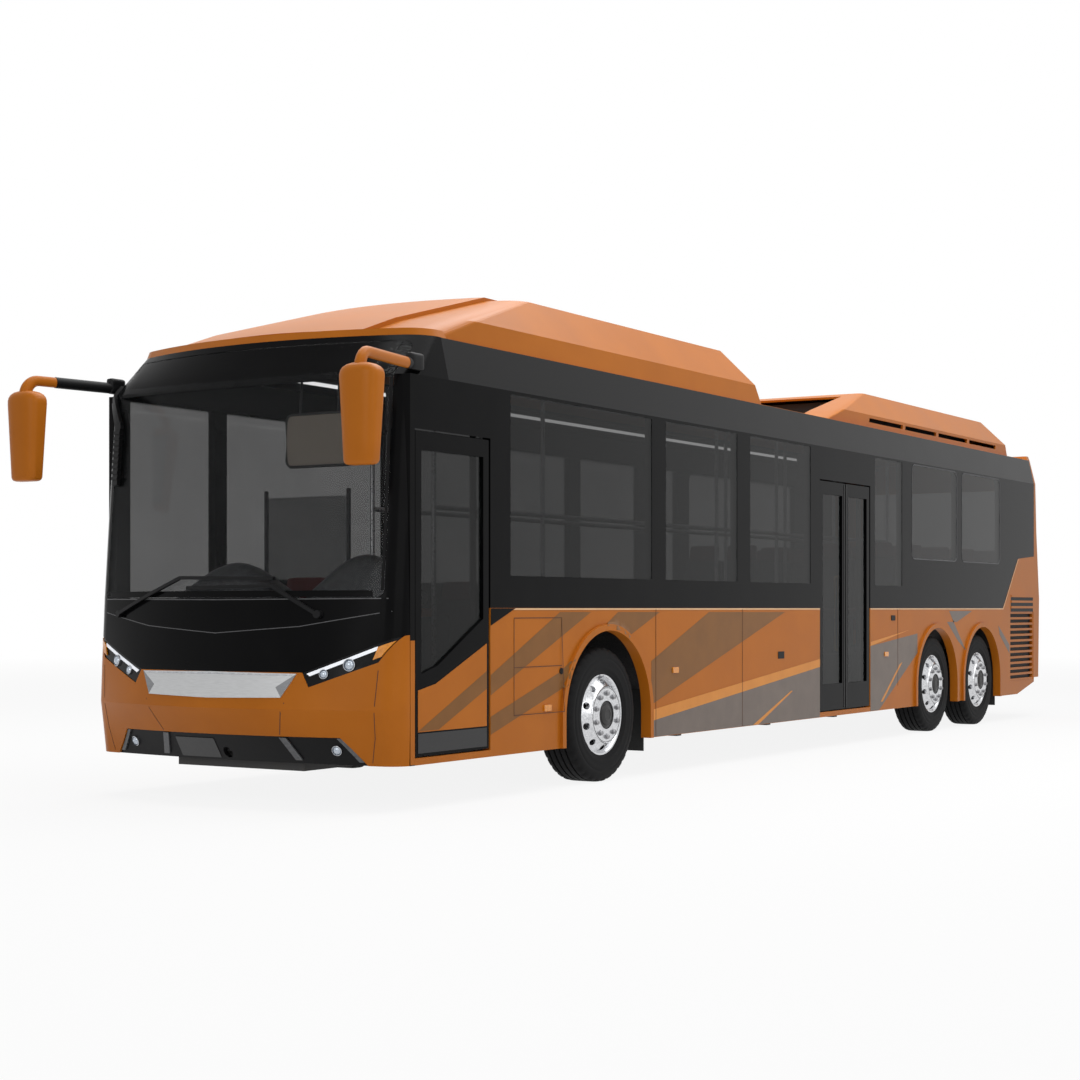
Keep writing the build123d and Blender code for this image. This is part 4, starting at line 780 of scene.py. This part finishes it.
# Front door: one glazed leaf in a black frame. An orange skin fills its foot under the slanting
# glass, with a vinyl band across it and a rubber kick strip below.
leaf = skin("front_door_leaf")
DOOR_SKIN = ((-2.303, .480), (-1.547, .480), (-1.547, 1.010), (-2.115, .770), (-2.303, .735))
DOOR_BAND = ((-2.303, .486), (-2.085, .486), (-1.547, .720), (-1.547, .835))
DOOR_KICK = rect(-2.303, .350, -1.547, .470)
DOOR_CORNER = rect(-2.388, .285, -2.343, 1.040)
kick_rubber = finish("kick_rubber", srgb(24, 24, 25), srgb(36, 36, 37), 20, (0.5, 0.65), 0.002, (1, 1, 14))
door_skin = laid(DOOR_SKIN, leaf, "left", 0.0022, 0.0020)
fit("front_door_skin", [door_skin], body_paint, "front_door_leaf")
corner_skin = laid(DOOR_CORNER, skin("left_window_wall"), "left", *RISE_SHEET)
fit("door_corner_skin", [corner_skin], body_paint, "coach_body")
fit("front_door_band", [laid(DOOR_BAND, leaf, "left", 0.0030, 0.0007)], brown_vinyl, "front_door_leaf")
fit("front_door_kick", [laid(DOOR_KICK, leaf, "left", 0.0025, 0.0023)], kick_rubber, "front_door_leaf")

# Middle doors: two tall glazed leaves with a rubber seal where they meet, and yellow grab bars
# clamped to the meeting stiles inside.


def tube(spots, radius, sides=12):
    """Points and faces of a round bar along spots, with closed ends."""
    rings = []
    spots = [Vector(spot) for spot in spots]
    for i, spot in enumerate(spots):
        ahead = (spots[min(i + 1, len(spots) - 1)] - spots[max(i - 1, 0)]).normalized()
        turn = ahead.to_track_quat("Z", "Y").to_matrix()
        ring = []
        for side in range(sides):
            angle = tau * side / sides
            ring.append(spot + turn @ Vector((radius * cos(angle), radius * sin(angle), 0)))
        rings.append(ring)
    return lofted(rings)


grab_yellow = finish("grab_yellow", srgb(214, 168, 18), srgb(230, 186, 30), 40, (0.3, 0.4))
seal_rubber = finish("seal_rubber", srgb(14, 14, 14), srgb(24, 24, 24), 50, (0.6, 0.75), 0.0005)
GRAB_LOW = .86
GRAB_HIGH = 1.52
GRAB_REACH = .048
GRAB_BEND = .030
GRAB_RADIUS = .012
STILE_HALF = .031
SEAL_EDGES = (.006, .026)
SEAL_RUN = (.345, 2.350)
LEAF_INNER = 1.206
for name, way in (("mid_door_front", 1), ("mid_door_rear", -1)):
    low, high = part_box(name + "_leaf")
    meeting = high.y if way > 0 else low.y
    stile = meeting - way * STILE_HALF
    bar_x = LEAF_INNER - GRAB_REACH
    bend_x = bar_x + GRAB_RADIUS
    path = [(LEAF_INNER, stile, GRAB_LOW), (bend_x, stile, GRAB_LOW), (bar_x, stile, GRAB_LOW + GRAB_BEND),
            (bar_x, stile, GRAB_HIGH - GRAB_BEND), (bend_x, stile, GRAB_HIGH), (LEAF_INNER, stile, GRAB_HIGH)]
    fit(name + "_grab", [tube(path, GRAB_RADIUS)], grab_yellow, name + "_leaf", crease=50)
    near, far = sorted(meeting - way * edge - FRONT_AXLE for edge in SEAL_EDGES)
    seal = laid(rect(near, SEAL_RUN[0], far, SEAL_RUN[1]), skin(name + "_leaf"), "left", 0.0035, 0.0033)
    fit(name + "_seal", [seal], seal_rubber, name + "_leaf")

# Roof: an orange arch between black leaning cantrails, under two faceted plastic hoods bolted to it.
# The front hood rises from the bowed roof edge with a raised middle panel; the rear one has air slots
# and an open trough.


def split_by_height(material, level, below):
    """Give a finish another colour below a level."""
    tree = material.node_tree
    find = {node.type: node for node in tree.nodes}
    height = tree.nodes.new("ShaderNodeSeparateXYZ")
    test = tree.nodes.new("ShaderNodeMath")
    test.operation = "LESS_THAN"
    test.inputs[1].default_value = level
    pick = tree.nodes.new("ShaderNodeMix")
    pick.data_type = "RGBA"
    pick.inputs["B"].default_value = below
    tree.links.new(find["TEX_COORD"].outputs["Object"], height.inputs["Vector"])
    tree.links.new(height.outputs["Z"], test.inputs[0])
    tree.links.new(test.outputs["Value"], pick.inputs["Factor"])
    tree.links.new(find["VALTORGB"].outputs["Color"], pick.inputs["A"])
    tree.links.new(pick.outputs["Result"], find["BSDF_PRINCIPLED"].inputs["Base Color"])


ROOF_EDGE = 2.930
ROOF_CROWN = 3.010
ROOF_HALF = 1.190
ROOF_BOW = (ROOF_HALF ** 2 + (ROOF_CROWN - ROOF_EDGE) ** 2) / (2 * (ROOF_CROWN - ROOF_EDGE))
roof_paint = finish("roof_enamel", *ORANGE, 2.2, (0.28, 0.34), Specular_IOR_Level=0.12)
split_by_height(roof_paint, ROOF_EDGE - .002, srgb(12, 12, 13))
dress(roof_paint, "roof_panel")
# Levels of a hood as (level, front middle, front corner, half width, corner radius, rear), lengths
# measured from the front axle.
FRONT_HOOD = ((2.930, -2.390, -2.140, 1.180, .170, 2.680), (3.080, -1.950, -1.700, 1.180, .150, 2.560),
              (3.350, -.950, -.730, .985, .110, 2.310))
REAR_HOOD = ((2.930, 4.080, 4.110, 1.120, .060, 9.200), (3.060, 4.480, 4.510, 1.130, .060, 9.100),
             (3.300, 5.370, 5.400, .950, .060, 8.800))
HOOD_SKIN = 0.020
HOOD_COLUMNS = 40
HOOD_SINK = 0.012


def hood_ring(level, middle, corner, half, radius, rear, swell, limit):
    """One level of a hood: its front from side to side, and its rear edge the other way."""
    half += swell
    reach = min(half, limit)
    front, back = [], []
    for column in range(HOOD_COLUMNS + 1):
        x = -reach * cos(pi * column / HOOD_COLUMNS)
        y = middle - swell + (corner - middle) * (x / half) ** 2
        over = abs(x) - (half - radius)
        if over > 0:
            y += radius - (max(radius ** 2 - over ** 2, 0)) ** 0.5
        front.append(Vector((x, FRONT_AXLE + y, level + swell)))
        back.append(Vector((x, FRONT_AXLE + rear + swell, level + swell)))
    return front + back[::-1]


def hood(levels, swell=0.0, limit=9.0):
    """The surface of a hood through its levels, down to the roof's arch."""
    rings = [hood_ring(*row, swell, limit) for row in levels]
    foot = []
    for low, high in zip(rings[0], rings[1]):
        arch = ROOF_CROWN - ROOF_BOW + (ROOF_BOW ** 2 - low.x ** 2) ** 0.5 - HOOD_SINK
        foot.append(low.lerp(high, max(0, (arch - low.z) / (high.z - low.z))))
    rings[0] = foot
    count = len(rings[0])
    points = [tuple(point) for ring in rings for point in ring]
    faces = []
    for level in range(len(rings) - 1):
        here, there = level * count, (level + 1) * count
        for i in range(count):
            j = (i + 1) % count
            faces.append((here + i, here + j, there + j, there + i))
    top = (len(rings) - 1) * count
    half = count // 2
    faces += [(top + i, top + i + 1, top + count - 2 - i, top + count - 1 - i) for i in range(half - 1)]
    return points, faces


def opened(chunk, cuts, gone, thick):
    """A surface cut along planes (axis, place), rid of the faces that are gone, and made a shell."""
    points, faces = chunk
    work = bmesh.new()
    verts = [work.verts.new(point) for point in points]
    for face in faces:
        work.faces.new([verts[i] for i in face])
    bmesh.ops.remove_doubles(work, verts=work.verts, dist=1e-6)
    for axis, at in cuts:
        normal = Vector([float(i == axis) for i in range(3)])
        geometry = [*work.verts, *work.edges, *work.faces]
        bmesh.ops.bisect_plane(work, geom=geometry, dist=1e-6, plane_co=normal * at, plane_no=normal)
    spare = [face for face in work.faces if gone(face.calc_center_median())]
    bmesh.ops.delete(work, geom=spare, context="FACES")
    bmesh.ops.recalc_face_normals(work, faces=work.faces)
    highest = max(work.faces, key=lambda face: face.calc_center_median().z)
    if highest.normal.z < 0:
        bmesh.ops.reverse_faces(work, faces=work.faces)
    bmesh.ops.solidify(work, geom=list(work.faces), thickness=thick)
    work.verts.index_update()
    points = [tuple(vert.co) for vert in work.verts]
    faces = [[vert.index for vert in face.verts] for face in work.faces]
    work.free()
    return points, faces


PANEL_HALF = .760
PANEL_RISE = .022
TROUGH_HALF = .800
TROUGH_END = FRONT_AXLE + 5.250
SLOT_LOW = 2.992
SLOT_HIGH = 3.032
SLOT_START = FRONT_AXLE + 5.150
SLOT_PITCH = .925
SLOT_WEB = .070
SLOTS = [(SLOT_START + SLOT_PITCH * slot, SLOT_START + SLOT_PITCH * (slot + 1) - SLOT_WEB)
         for slot in range(4)]


def in_rear_gaps(at):
    """True in the rear hood's trough and in its air slots."""
    if abs(at.x) < TROUGH_HALF:
        return at.y < TROUGH_END
    return SLOT_LOW < at.z < SLOT_HIGH and any(start < at.y < end for start, end in SLOTS)


front_hood = opened(hood(FRONT_HOOD), (), lambda at: False, HOOD_SKIN)
raised = opened(hood(FRONT_HOOD, PANEL_RISE, PANEL_HALF), (), lambda at: False, HOOD_SKIN)
hood_piece = fit("front_hood", [front_hood, raised], body_paint, "coach_body", crease=12)
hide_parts("front_roof_pod")
cuts = [(0, TROUGH_HALF), (0, -TROUGH_HALF), (1, TROUGH_END), (2, SLOT_LOW), (2, SLOT_HIGH)]
cuts += [(1, y) for slot in SLOTS for y in slot]
rear_hood = opened(hood(REAR_HOOD), cuts, in_rear_gaps, HOOD_SKIN)
hood_piece = fit("rear_hood", [rear_hood], body_paint, "coach_body", crease=12)
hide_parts("rear_roof_pod")

# Vents behind the tag wheels: painted slats welded into the wall, with dark wire mesh behind them.
# Above the waist the vent runs on as two more slots between painted slats.
mesh_dark = finish("mesh_dark", srgb(8, 8, 8), srgb(22, 22, 22), 300, (0.6, 0.8), 0.001)
vent_low, vent_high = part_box("side_grilles")
backs = []
MESH_X = (1.205, 1.211)
MESH_INSET = .004
for sign in (1, -1):
    near, far = sorted(sign * x for x in MESH_X)
    low_corner = (near, vent_low.y + MESH_INSET, vent_low.z + MESH_INSET)
    high_corner = (far, vent_high.y - MESH_INSET, vent_high.z - MESH_INSET)
    backs.append(rounded_box(low_corner, high_corner, .002, 2))
fit("vent_mesh", backs, mesh_dark, "coach_body")
VENT_START, VENT_END = 8.925, 9.705
VENT_TOP = rect(VENT_START, 1.200, VENT_END, 1.361)
VENT_SLATS = (1.237, 1.299, 1.361)
SLAT_HIGH = .025
for side in ("left", "right"):
    wall = skin(side + "_lower_wall", side + "_window_wall")
    fit("vent_top_" + side, [laid(VENT_TOP, wall, side, 0.0030, 0.0028)], mesh_dark, "coach_body")
    slats = [laid(rect(VENT_START, z, VENT_END, z + SLAT_HIGH), wall, side, 0.0080, 0.0078)
             for z in VENT_SLATS]
    fit("vent_slats_" + side, slats, body_paint, "coach_body")

# Tail: a painted moulding. Its steel lid carries a blank plate, a pull and plastic louvres, and stacks
# of moulded lenses stand in the corners.
tail = skin("rear_wall")
lid = skin("rear_hatch")
lights = skin("rear_lamps")
red_lens = finish("red_lens", srgb(120, 10, 10), srgb(150, 18, 16), 30, (0.08, 0.14), Coat_Weight=0.5)
clear_lens = finish("clear_lens", srgb(190, 194, 198), srgb(214, 218, 222), 60, (0.1, 0.16), Coat_Weight=0.5)
plate_pale = finish("plate_pale", srgb(196, 196, 192), srgb(210, 210, 206), 30, (0.35, 0.45))
dress(red_lens, "rear_lamps")
REAR_PLATE = round_rect(-.26, .66, .26, .77, .008)
LID_PULL = round_rect(-.08, .59, .08, .625, .012)
LOUVRES = [rect(-.56, 1.02 + .05 * slat, .56, 1.044 + .05 * slat) for slat in range(7)]
TURN_BOX = rect(1.004, 1.29, 1.116, 1.38)
REVERSE_BOX = rect(1.004, .985, 1.116, 1.06)
BRAKE_BOX = round_rect(-.22, 2.655, .22, 2.685, .008)
TAIL_JOINTS = (((-1.13, .545), (-.78, .545)), ((.78, .545), (1.13, .545)), ((-1.13, 1.56), (1.13, 1.56)))
fit("rear_plate", [laid(REAR_PLATE, lid, "rear", 0.004, 0.0035, 0.10)], plate_pale, "rear_hatch")
louvres = [laid(outline, lid, "rear", 0.010, 0.0095, 0.14) for outline in LOUVRES]
fit("lid_louvres", louvres, black_plastic, "rear_hatch")
pull = laid(LID_PULL, lid, "rear", 0.014, 0.0135, 0.05)
fit("lid_pull", [pull], black_plastic, "rear_hatch")
for side, sign in (("left", 1), ("right", -1)):
    turn = laid(mirrored(TURN_BOX, sign), lights, "rear", 0.003, 0.0028, 0.06)
    fit("rear_turn_" + side, [turn], amber_lens, "coach_body")
    reverse = laid(mirrored(REVERSE_BOX, sign), lights, "rear", 0.003, 0.0028, 0.06)
    fit("rear_reverse_" + side, [reverse], clear_lens, "coach_body")
brake = laid(BRAKE_BOX, tail, "rear", 0.005, 0.0045, 0.08)
fit("brake_strip", [brake], red_lens, "coach_body")
joints = [laid(outline, tail, "rear", 0.0014, 0.0012, 0.12)
          for ends in TAIL_JOINTS for outline in line(ends, 0.006)]
fit("tail_joints", joints, seam_dark, "coach_body")

# Seats: moulded foam under woven cloth, crowned cushions and backs in pairs on welded pedestals,
# one single sprung seat for the driver.


def islands(node):
    """The boxes of a node's separate solids."""
    work = bmesh.new()
    work.from_mesh(NODES[node].data)
    bmesh.ops.remove_doubles(work, verts=work.verts, dist=1e-5)
    left, boxes = set(work.verts), []
    while left:
        group, queue = [], [left.pop()]
        while queue:
            vert = queue.pop()
            group.append(vert.co.copy())
            for edge in vert.link_edges:
                other = edge.other_vert(vert)
                if other in left:
                    left.remove(other)
                    queue.append(other)
        boxes.append(tuple(Vector([pick(co[i] for co in group) for i in range(3)]) for pick in (min, max)))
    work.free()
    return sorted(boxes, key=lambda box: tuple(box[0]))


def leaning(chunk, foot_z, lean):
    """A back's points slid rearwards with height."""
    points, faces = chunk
    return [(x, y + (z - foot_z) * lean, z) for x, y, z in points], faces


CUSHION = 0.090
SEAT_GAP = 0.004
BACK_LEAN = 0.172
BACK_THICK = 0.062
PAIR_WIDTH = 0.6
HEAD_DROP = 0.165
HEAD_INSET = 0.05
seat_cloth = finish("seat_cloth", srgb(84, 18, 20), srgb(112, 28, 29), 220, (0.8, 0.95), 0.001,
                    Sheen_Weight=0.2)
back_cloth = finish("back_cloth", srgb(22, 22, 24), srgb(38, 37, 40), 220, (0.8, 0.95), 0.001,
                    Sheen_Weight=0.2)
pedestal_steel = finish("pedestal_steel", srgb(52, 52, 54), srgb(72, 72, 74), 40, (0.4, 0.55), 0.0004,
                        Metallic=0.5)
cushions, pedestals, pads, heads_up = [], [], [], []
for low, high in islands("seat_bases"):
    seats = 2 if high.x - low.x > PAIR_WIDTH else 1
    width = (high.x - low.x) / seats
    under = high.z - CUSHION
    for seat in range(seats):
        near = low.x + seat * width
        foot = (near + SEAT_GAP, low.y, under)
        crown = (near + width - SEAT_GAP, high.y, high.z - .012)
        cushions.append(rounded_box(foot, crown, .032, 8, .012))
    middle = (low.x + high.x) / 2
    post = middle + .15 * (high.x - low.x) * (-1 if middle > 0 else 1)
    centre = (low.y + high.y) / 2
    # Post, floor flange and the tray under the cushions, as boxes with their edge radii.
    for low_corner, high_corner, radius in (
            ((post - .045, centre - .10, low.z + .008), (post + .045, centre + .10, under + .004), .010),
            ((post - .060, centre - .12, low.z), (post + .060, centre + .12, low.z + .012), .004),
            ((low.x + .03, centre - .15, under - .016), (high.x - .03, centre + .15, under + .003), .006)):
        pedestals.append(rounded_box(low_corner, high_corner, radius, 2))
for low, high in islands("seat_backs"):
    seats = 2 if high.x - low.x > PAIR_WIDTH else 1
    width = (high.x - low.x) / seats
    front = low.y + .012
    back = front + BACK_THICK
    for seat in range(seats):
        near = low.x + seat * width
        far = near + width
        pad = rounded_box((near + SEAT_GAP, front, low.z + .002),
                          (far - SEAT_GAP, back, high.z - .150), .028, 8)
        pads.append(leaning(pad, low.z, BACK_LEAN))
        head = rounded_box((near + HEAD_INSET, front + .006, high.z - HEAD_DROP),
                           (far - HEAD_INSET, back - .006, high.z - .002), .024, 6)
        heads_up.append(leaning(head, low.z, BACK_LEAN))
cushion_piece = fit("seat_cushions", cushions, seat_cloth, "coach_body", crease=70)
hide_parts("seat_bases")
pad_piece = fit("seat_back_pads", pads, back_cloth, "coach_body", crease=70)
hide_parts("seat_backs")
head_piece = fit("seat_head_pads", heads_up, seat_cloth, "coach_body", crease=70)
fit("seat_pedestals", pedestals, pedestal_steel, "coach_body")

# Cabin: brushed steel rails, light strips in painted channels along the ceiling, a smoked screen in a
# tube frame behind the driver's seat, a moulded dash with gauges and two hoods, and a cloth-backed
# cabin mirror in a wire frame that hangs behind the windscreen.
rail_steel = finish("rail_steel", srgb(150, 150, 152), srgb(184, 184, 186), 90, (0.22, 0.35), Metallic=1)
dash_grain = finish("dash_grain", srgb(20, 20, 22), srgb(34, 34, 36), 380, (0.5, 0.65), 0.0005)
light_panel = finish("light_panel", srgb(236, 240, 244), srgb(248, 250, 252), 12, (0.3, 0.4),
                     Emission_Color=(1, 1, 1, 1), Emission_Strength=1.2)
blind_grey = finish("blind_grey", srgb(60, 62, 65), srgb(84, 86, 89), 30, (0.4, 0.5))
blind_cloth = finish("blind_cloth", srgb(136, 128, 118), srgb(152, 144, 134), 160, (0.7, 0.85), 0.0004)
gauge_dark = finish("gauge_dark", srgb(8, 10, 14), srgb(16, 20, 26), 60, (0.06, 0.12), Coat_Weight=0.6)
smoked = pane("smoked_screen", srgb(30, 32, 34), 0.4, 0.04)
dress(rail_steel, "handrails")
dress(dash_grain, "dashboard")
CEILING = 2.862
LIGHT_X = .62
LIGHT_RUN = (-4.875, 6.025)
CHANNEL_LIP = .030
strips, channels = [], []
for x in (LIGHT_X, -LIGHT_X):
    strips.append(rounded_box((x - .055, LIGHT_RUN[0], CEILING - .016),
                              (x + .055, LIGHT_RUN[1], CEILING), .006, 2))
    channels.append(rounded_box((x - .085, LIGHT_RUN[0] - CHANNEL_LIP, CEILING - .010),
                                (x + .085, LIGHT_RUN[1] + CHANNEL_LIP, CEILING + .022), .008, 2))
fit("ceiling_lights", strips, light_panel, "coach_body")
fit("ceiling_channels", channels, blind_grey, "coach_body")
BULKHEAD_Y = FRONT_AXLE - .865
BULKHEAD_X = (-1.180, -.400)
BULKHEAD_FOOT, BULKHEAD_SILL, BULKHEAD_TOP = .382, 1.10, 2.05
screen_sheet = rounded_box((BULKHEAD_X[0], BULKHEAD_Y, BULKHEAD_SILL),
                           (BULKHEAD_X[1], BULKHEAD_Y + .008, BULKHEAD_TOP), .003, 2)
fit("driver_screen", [screen_sheet], smoked, "coach_body")
frame_posts = [tube([(x, BULKHEAD_Y + .004, BULKHEAD_FOOT), (x, BULKHEAD_Y + .004, BULKHEAD_TOP + .05)], .016)
               for x in (BULKHEAD_X[0] + .015, BULKHEAD_X[1])]
frame_posts.append(rounded_box((BULKHEAD_X[0], BULKHEAD_Y - .010, BULKHEAD_FOOT),
                               (BULKHEAD_X[1], BULKHEAD_Y + .018, BULKHEAD_SILL), .006, 2))
fit("driver_screen_frame", frame_posts, blind_grey, "coach_body", crease=50)
dash = skin("dashboard")
dash_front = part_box("dashboard")[0].y
GAUGES = ((-.90, .17, -.42, .30), (.02, .18, .42, .32))
gauges = []
for x0, y0, x1, y1 in GAUGES:
    outline = round_rect(x0, dash_front + y0, x1, dash_front + y1, .03)
    gauges.append(laid(outline, dash, "top", 0.004, 0.0038, 0.10))
fit("dash_gauges", gauges, gauge_dark, "coach_body")
CAB_MIRROR_Y = FRONT_AXLE - 2.340
CAB_MIRROR_TOP = 2.46
CAB_MIRROR = round_rect(.25, 2.13, .78, CAB_MIRROR_TOP, .045)
HANGER_TOP = 2.74
rim_spots = [(x, CAB_MIRROR_Y, z) for x, z in CAB_MIRROR]
hangers = [tube([*rim_spots, rim_spots[0]], .010, 8)]
hangers += [tube([(x, CAB_MIRROR_Y, CAB_MIRROR_TOP), (x, CAB_MIRROR_Y + .02, HANGER_TOP)], .008, 8)
            for x in (.36, .66)]
fit("cabin_mirror_frame", hangers, dash_grain, "coach_body", crease=50)
cloth = lofted([[(x, CAB_MIRROR_Y + depth, z) for x, z in CAB_MIRROR] for depth in (-.003, .003)])
fit("cabin_mirror", [cloth], blind_cloth, "coach_body")
HOODS = ((-.80, .02, .20), (.30, 1.06, .24))
hoods = [rounded_box((x0, dash_front + .10, 1.26), (x1, dash_front + .42, 1.34), .035, 10, rise)
         for x0, x1, rise in HOODS]
fit("dash_hoods", hoods, blind_grey, "coach_body", crease=60)

# Studio: a pale floor that keeps the coach's shadow and fades to white far off, soft light from above
# and from the camera's side, and the photograph's camera.
FLOOR_CORNERS = ((-90, -60, 0), (90, -60, 0), (90, 120, 0), (-90, 120, 0))
FADE_RUN = (9, 34)
FLOOR_GLOW = (0.88, 1.0)
WORLD_LIGHT = 0.25


def plainly_seen(tree):
    """A socket that is 1 for what the camera, mirrors and glass see, and 0 for light on the coach."""
    rays = tree.nodes.new("ShaderNodeLightPath")
    joined = rays.outputs["Is Camera Ray"]
    for kind in ("Is Glossy Ray", "Is Transmission Ray"):
        either = tree.nodes.new("ShaderNodeMath")
        either.operation = "MAXIMUM"
        tree.links.new(joined, either.inputs[0])
        tree.links.new(rays.outputs[kind], either.inputs[1])
        joined = either.outputs["Value"]
    return joined


floor_mesh = bpy.data.meshes.new("studio_floor")
floor_mesh.from_pydata(FLOOR_CORNERS, [], [(0, 1, 2, 3)])
studio_floor = bpy.data.objects.new("studio_floor", floor_mesh)
bpy.context.scene.collection.objects.link(studio_floor)
floor_paint = bpy.data.materials.new("studio_floor")
floor_paint.use_nodes = True
tree = floor_paint.node_tree
tree.nodes.clear()
diffuse = tree.nodes.new("ShaderNodeBsdfDiffuse")
diffuse.inputs["Color"].default_value = (0.82, 0.82, 0.82, 1)
glow = tree.nodes.new("ShaderNodeEmission")
glow.inputs["Strength"].default_value = 1.0
where = tree.nodes.new("ShaderNodeNewGeometry")
away = tree.nodes.new("ShaderNodeVectorMath")
away.operation = "LENGTH"
fade = tree.nodes.new("ShaderNodeMapRange")
fade.inputs["From Min"].default_value, fade.inputs["From Max"].default_value = FADE_RUN
fade.inputs["To Min"].default_value, fade.inputs["To Max"].default_value = FLOOR_GLOW
seen = tree.nodes.new("ShaderNodeMath")
seen.operation = "MULTIPLY"
both = tree.nodes.new("ShaderNodeMixShader")
out = tree.nodes.new("ShaderNodeOutputMaterial")
tree.links.new(plainly_seen(tree), seen.inputs[0])
tree.links.new(where.outputs["Position"], away.inputs[0])
tree.links.new(away.outputs["Value"], fade.inputs["Value"])
tree.links.new(fade.outputs["Result"], seen.inputs[1])
tree.links.new(seen.outputs["Value"], both.inputs["Fac"])
tree.links.new(diffuse.outputs["BSDF"], both.inputs[1])
tree.links.new(glow.outputs["Emission"], both.inputs[2])
tree.links.new(both.outputs["Shader"], out.inputs["Surface"])
floor_mesh.materials.append(floor_paint)

world = bpy.data.worlds.new("studio")
bpy.context.scene.world = world
world.use_nodes = True
tree = world.node_tree
tree.nodes.clear()
back = tree.nodes.new("ShaderNodeBackground")
back.inputs["Color"].default_value = (1, 1, 1, 1)
level = tree.nodes.new("ShaderNodeMapRange")
level.inputs["To Min"].default_value = WORLD_LIGHT
level.inputs["To Max"].default_value = 1.0
out = tree.nodes.new("ShaderNodeOutputWorld")
tree.links.new(plainly_seen(tree), level.inputs["Value"])
tree.links.new(level.outputs["Result"], back.inputs["Strength"])
tree.links.new(back.outputs["Background"], out.inputs["Surface"])

# Lamps as (name, place, what it faces, size, watts).
LAMPS = (
    ("top_softbox", (1, 0, 11), (0, 0, 0), 15, 1850),
    ("side_softbox", (14, -9, 6), (0, -1, 1.4), 9, 260),
    ("front_softbox", (3, -19, 6), (0, -5, 1.4), 7, 340),
)
for name, spot, aim, size, watts in LAMPS:
    lamp = bpy.data.lights.new(name, "AREA")
    lamp.energy = watts
    lamp.size = size
    holder = bpy.data.objects.new(name, lamp)
    holder.location = spot
    holder.rotation_euler = (Vector(aim) - Vector(spot)).to_track_quat("-Z", "Y").to_euler()
    bpy.context.scene.collection.objects.link(holder)

lens = bpy.data.cameras.new("camera")
lens.sensor_width = 36
lens.lens = 63.73
lens.shift_y = 0.0634
lens.clip_end = 300
camera = bpy.data.objects.new("camera", lens)
camera.location = (8.046, FRONT_AXLE - 11.783, 1.235)
camera.rotation_euler = (radians(90), 0, radians(32))
bpy.context.scene.collection.objects.link(camera)
bpy.context.scene.camera = camera
bpy.context.scene.view_settings.view_transform = "Standard"

bpy.context.view_layer.update()
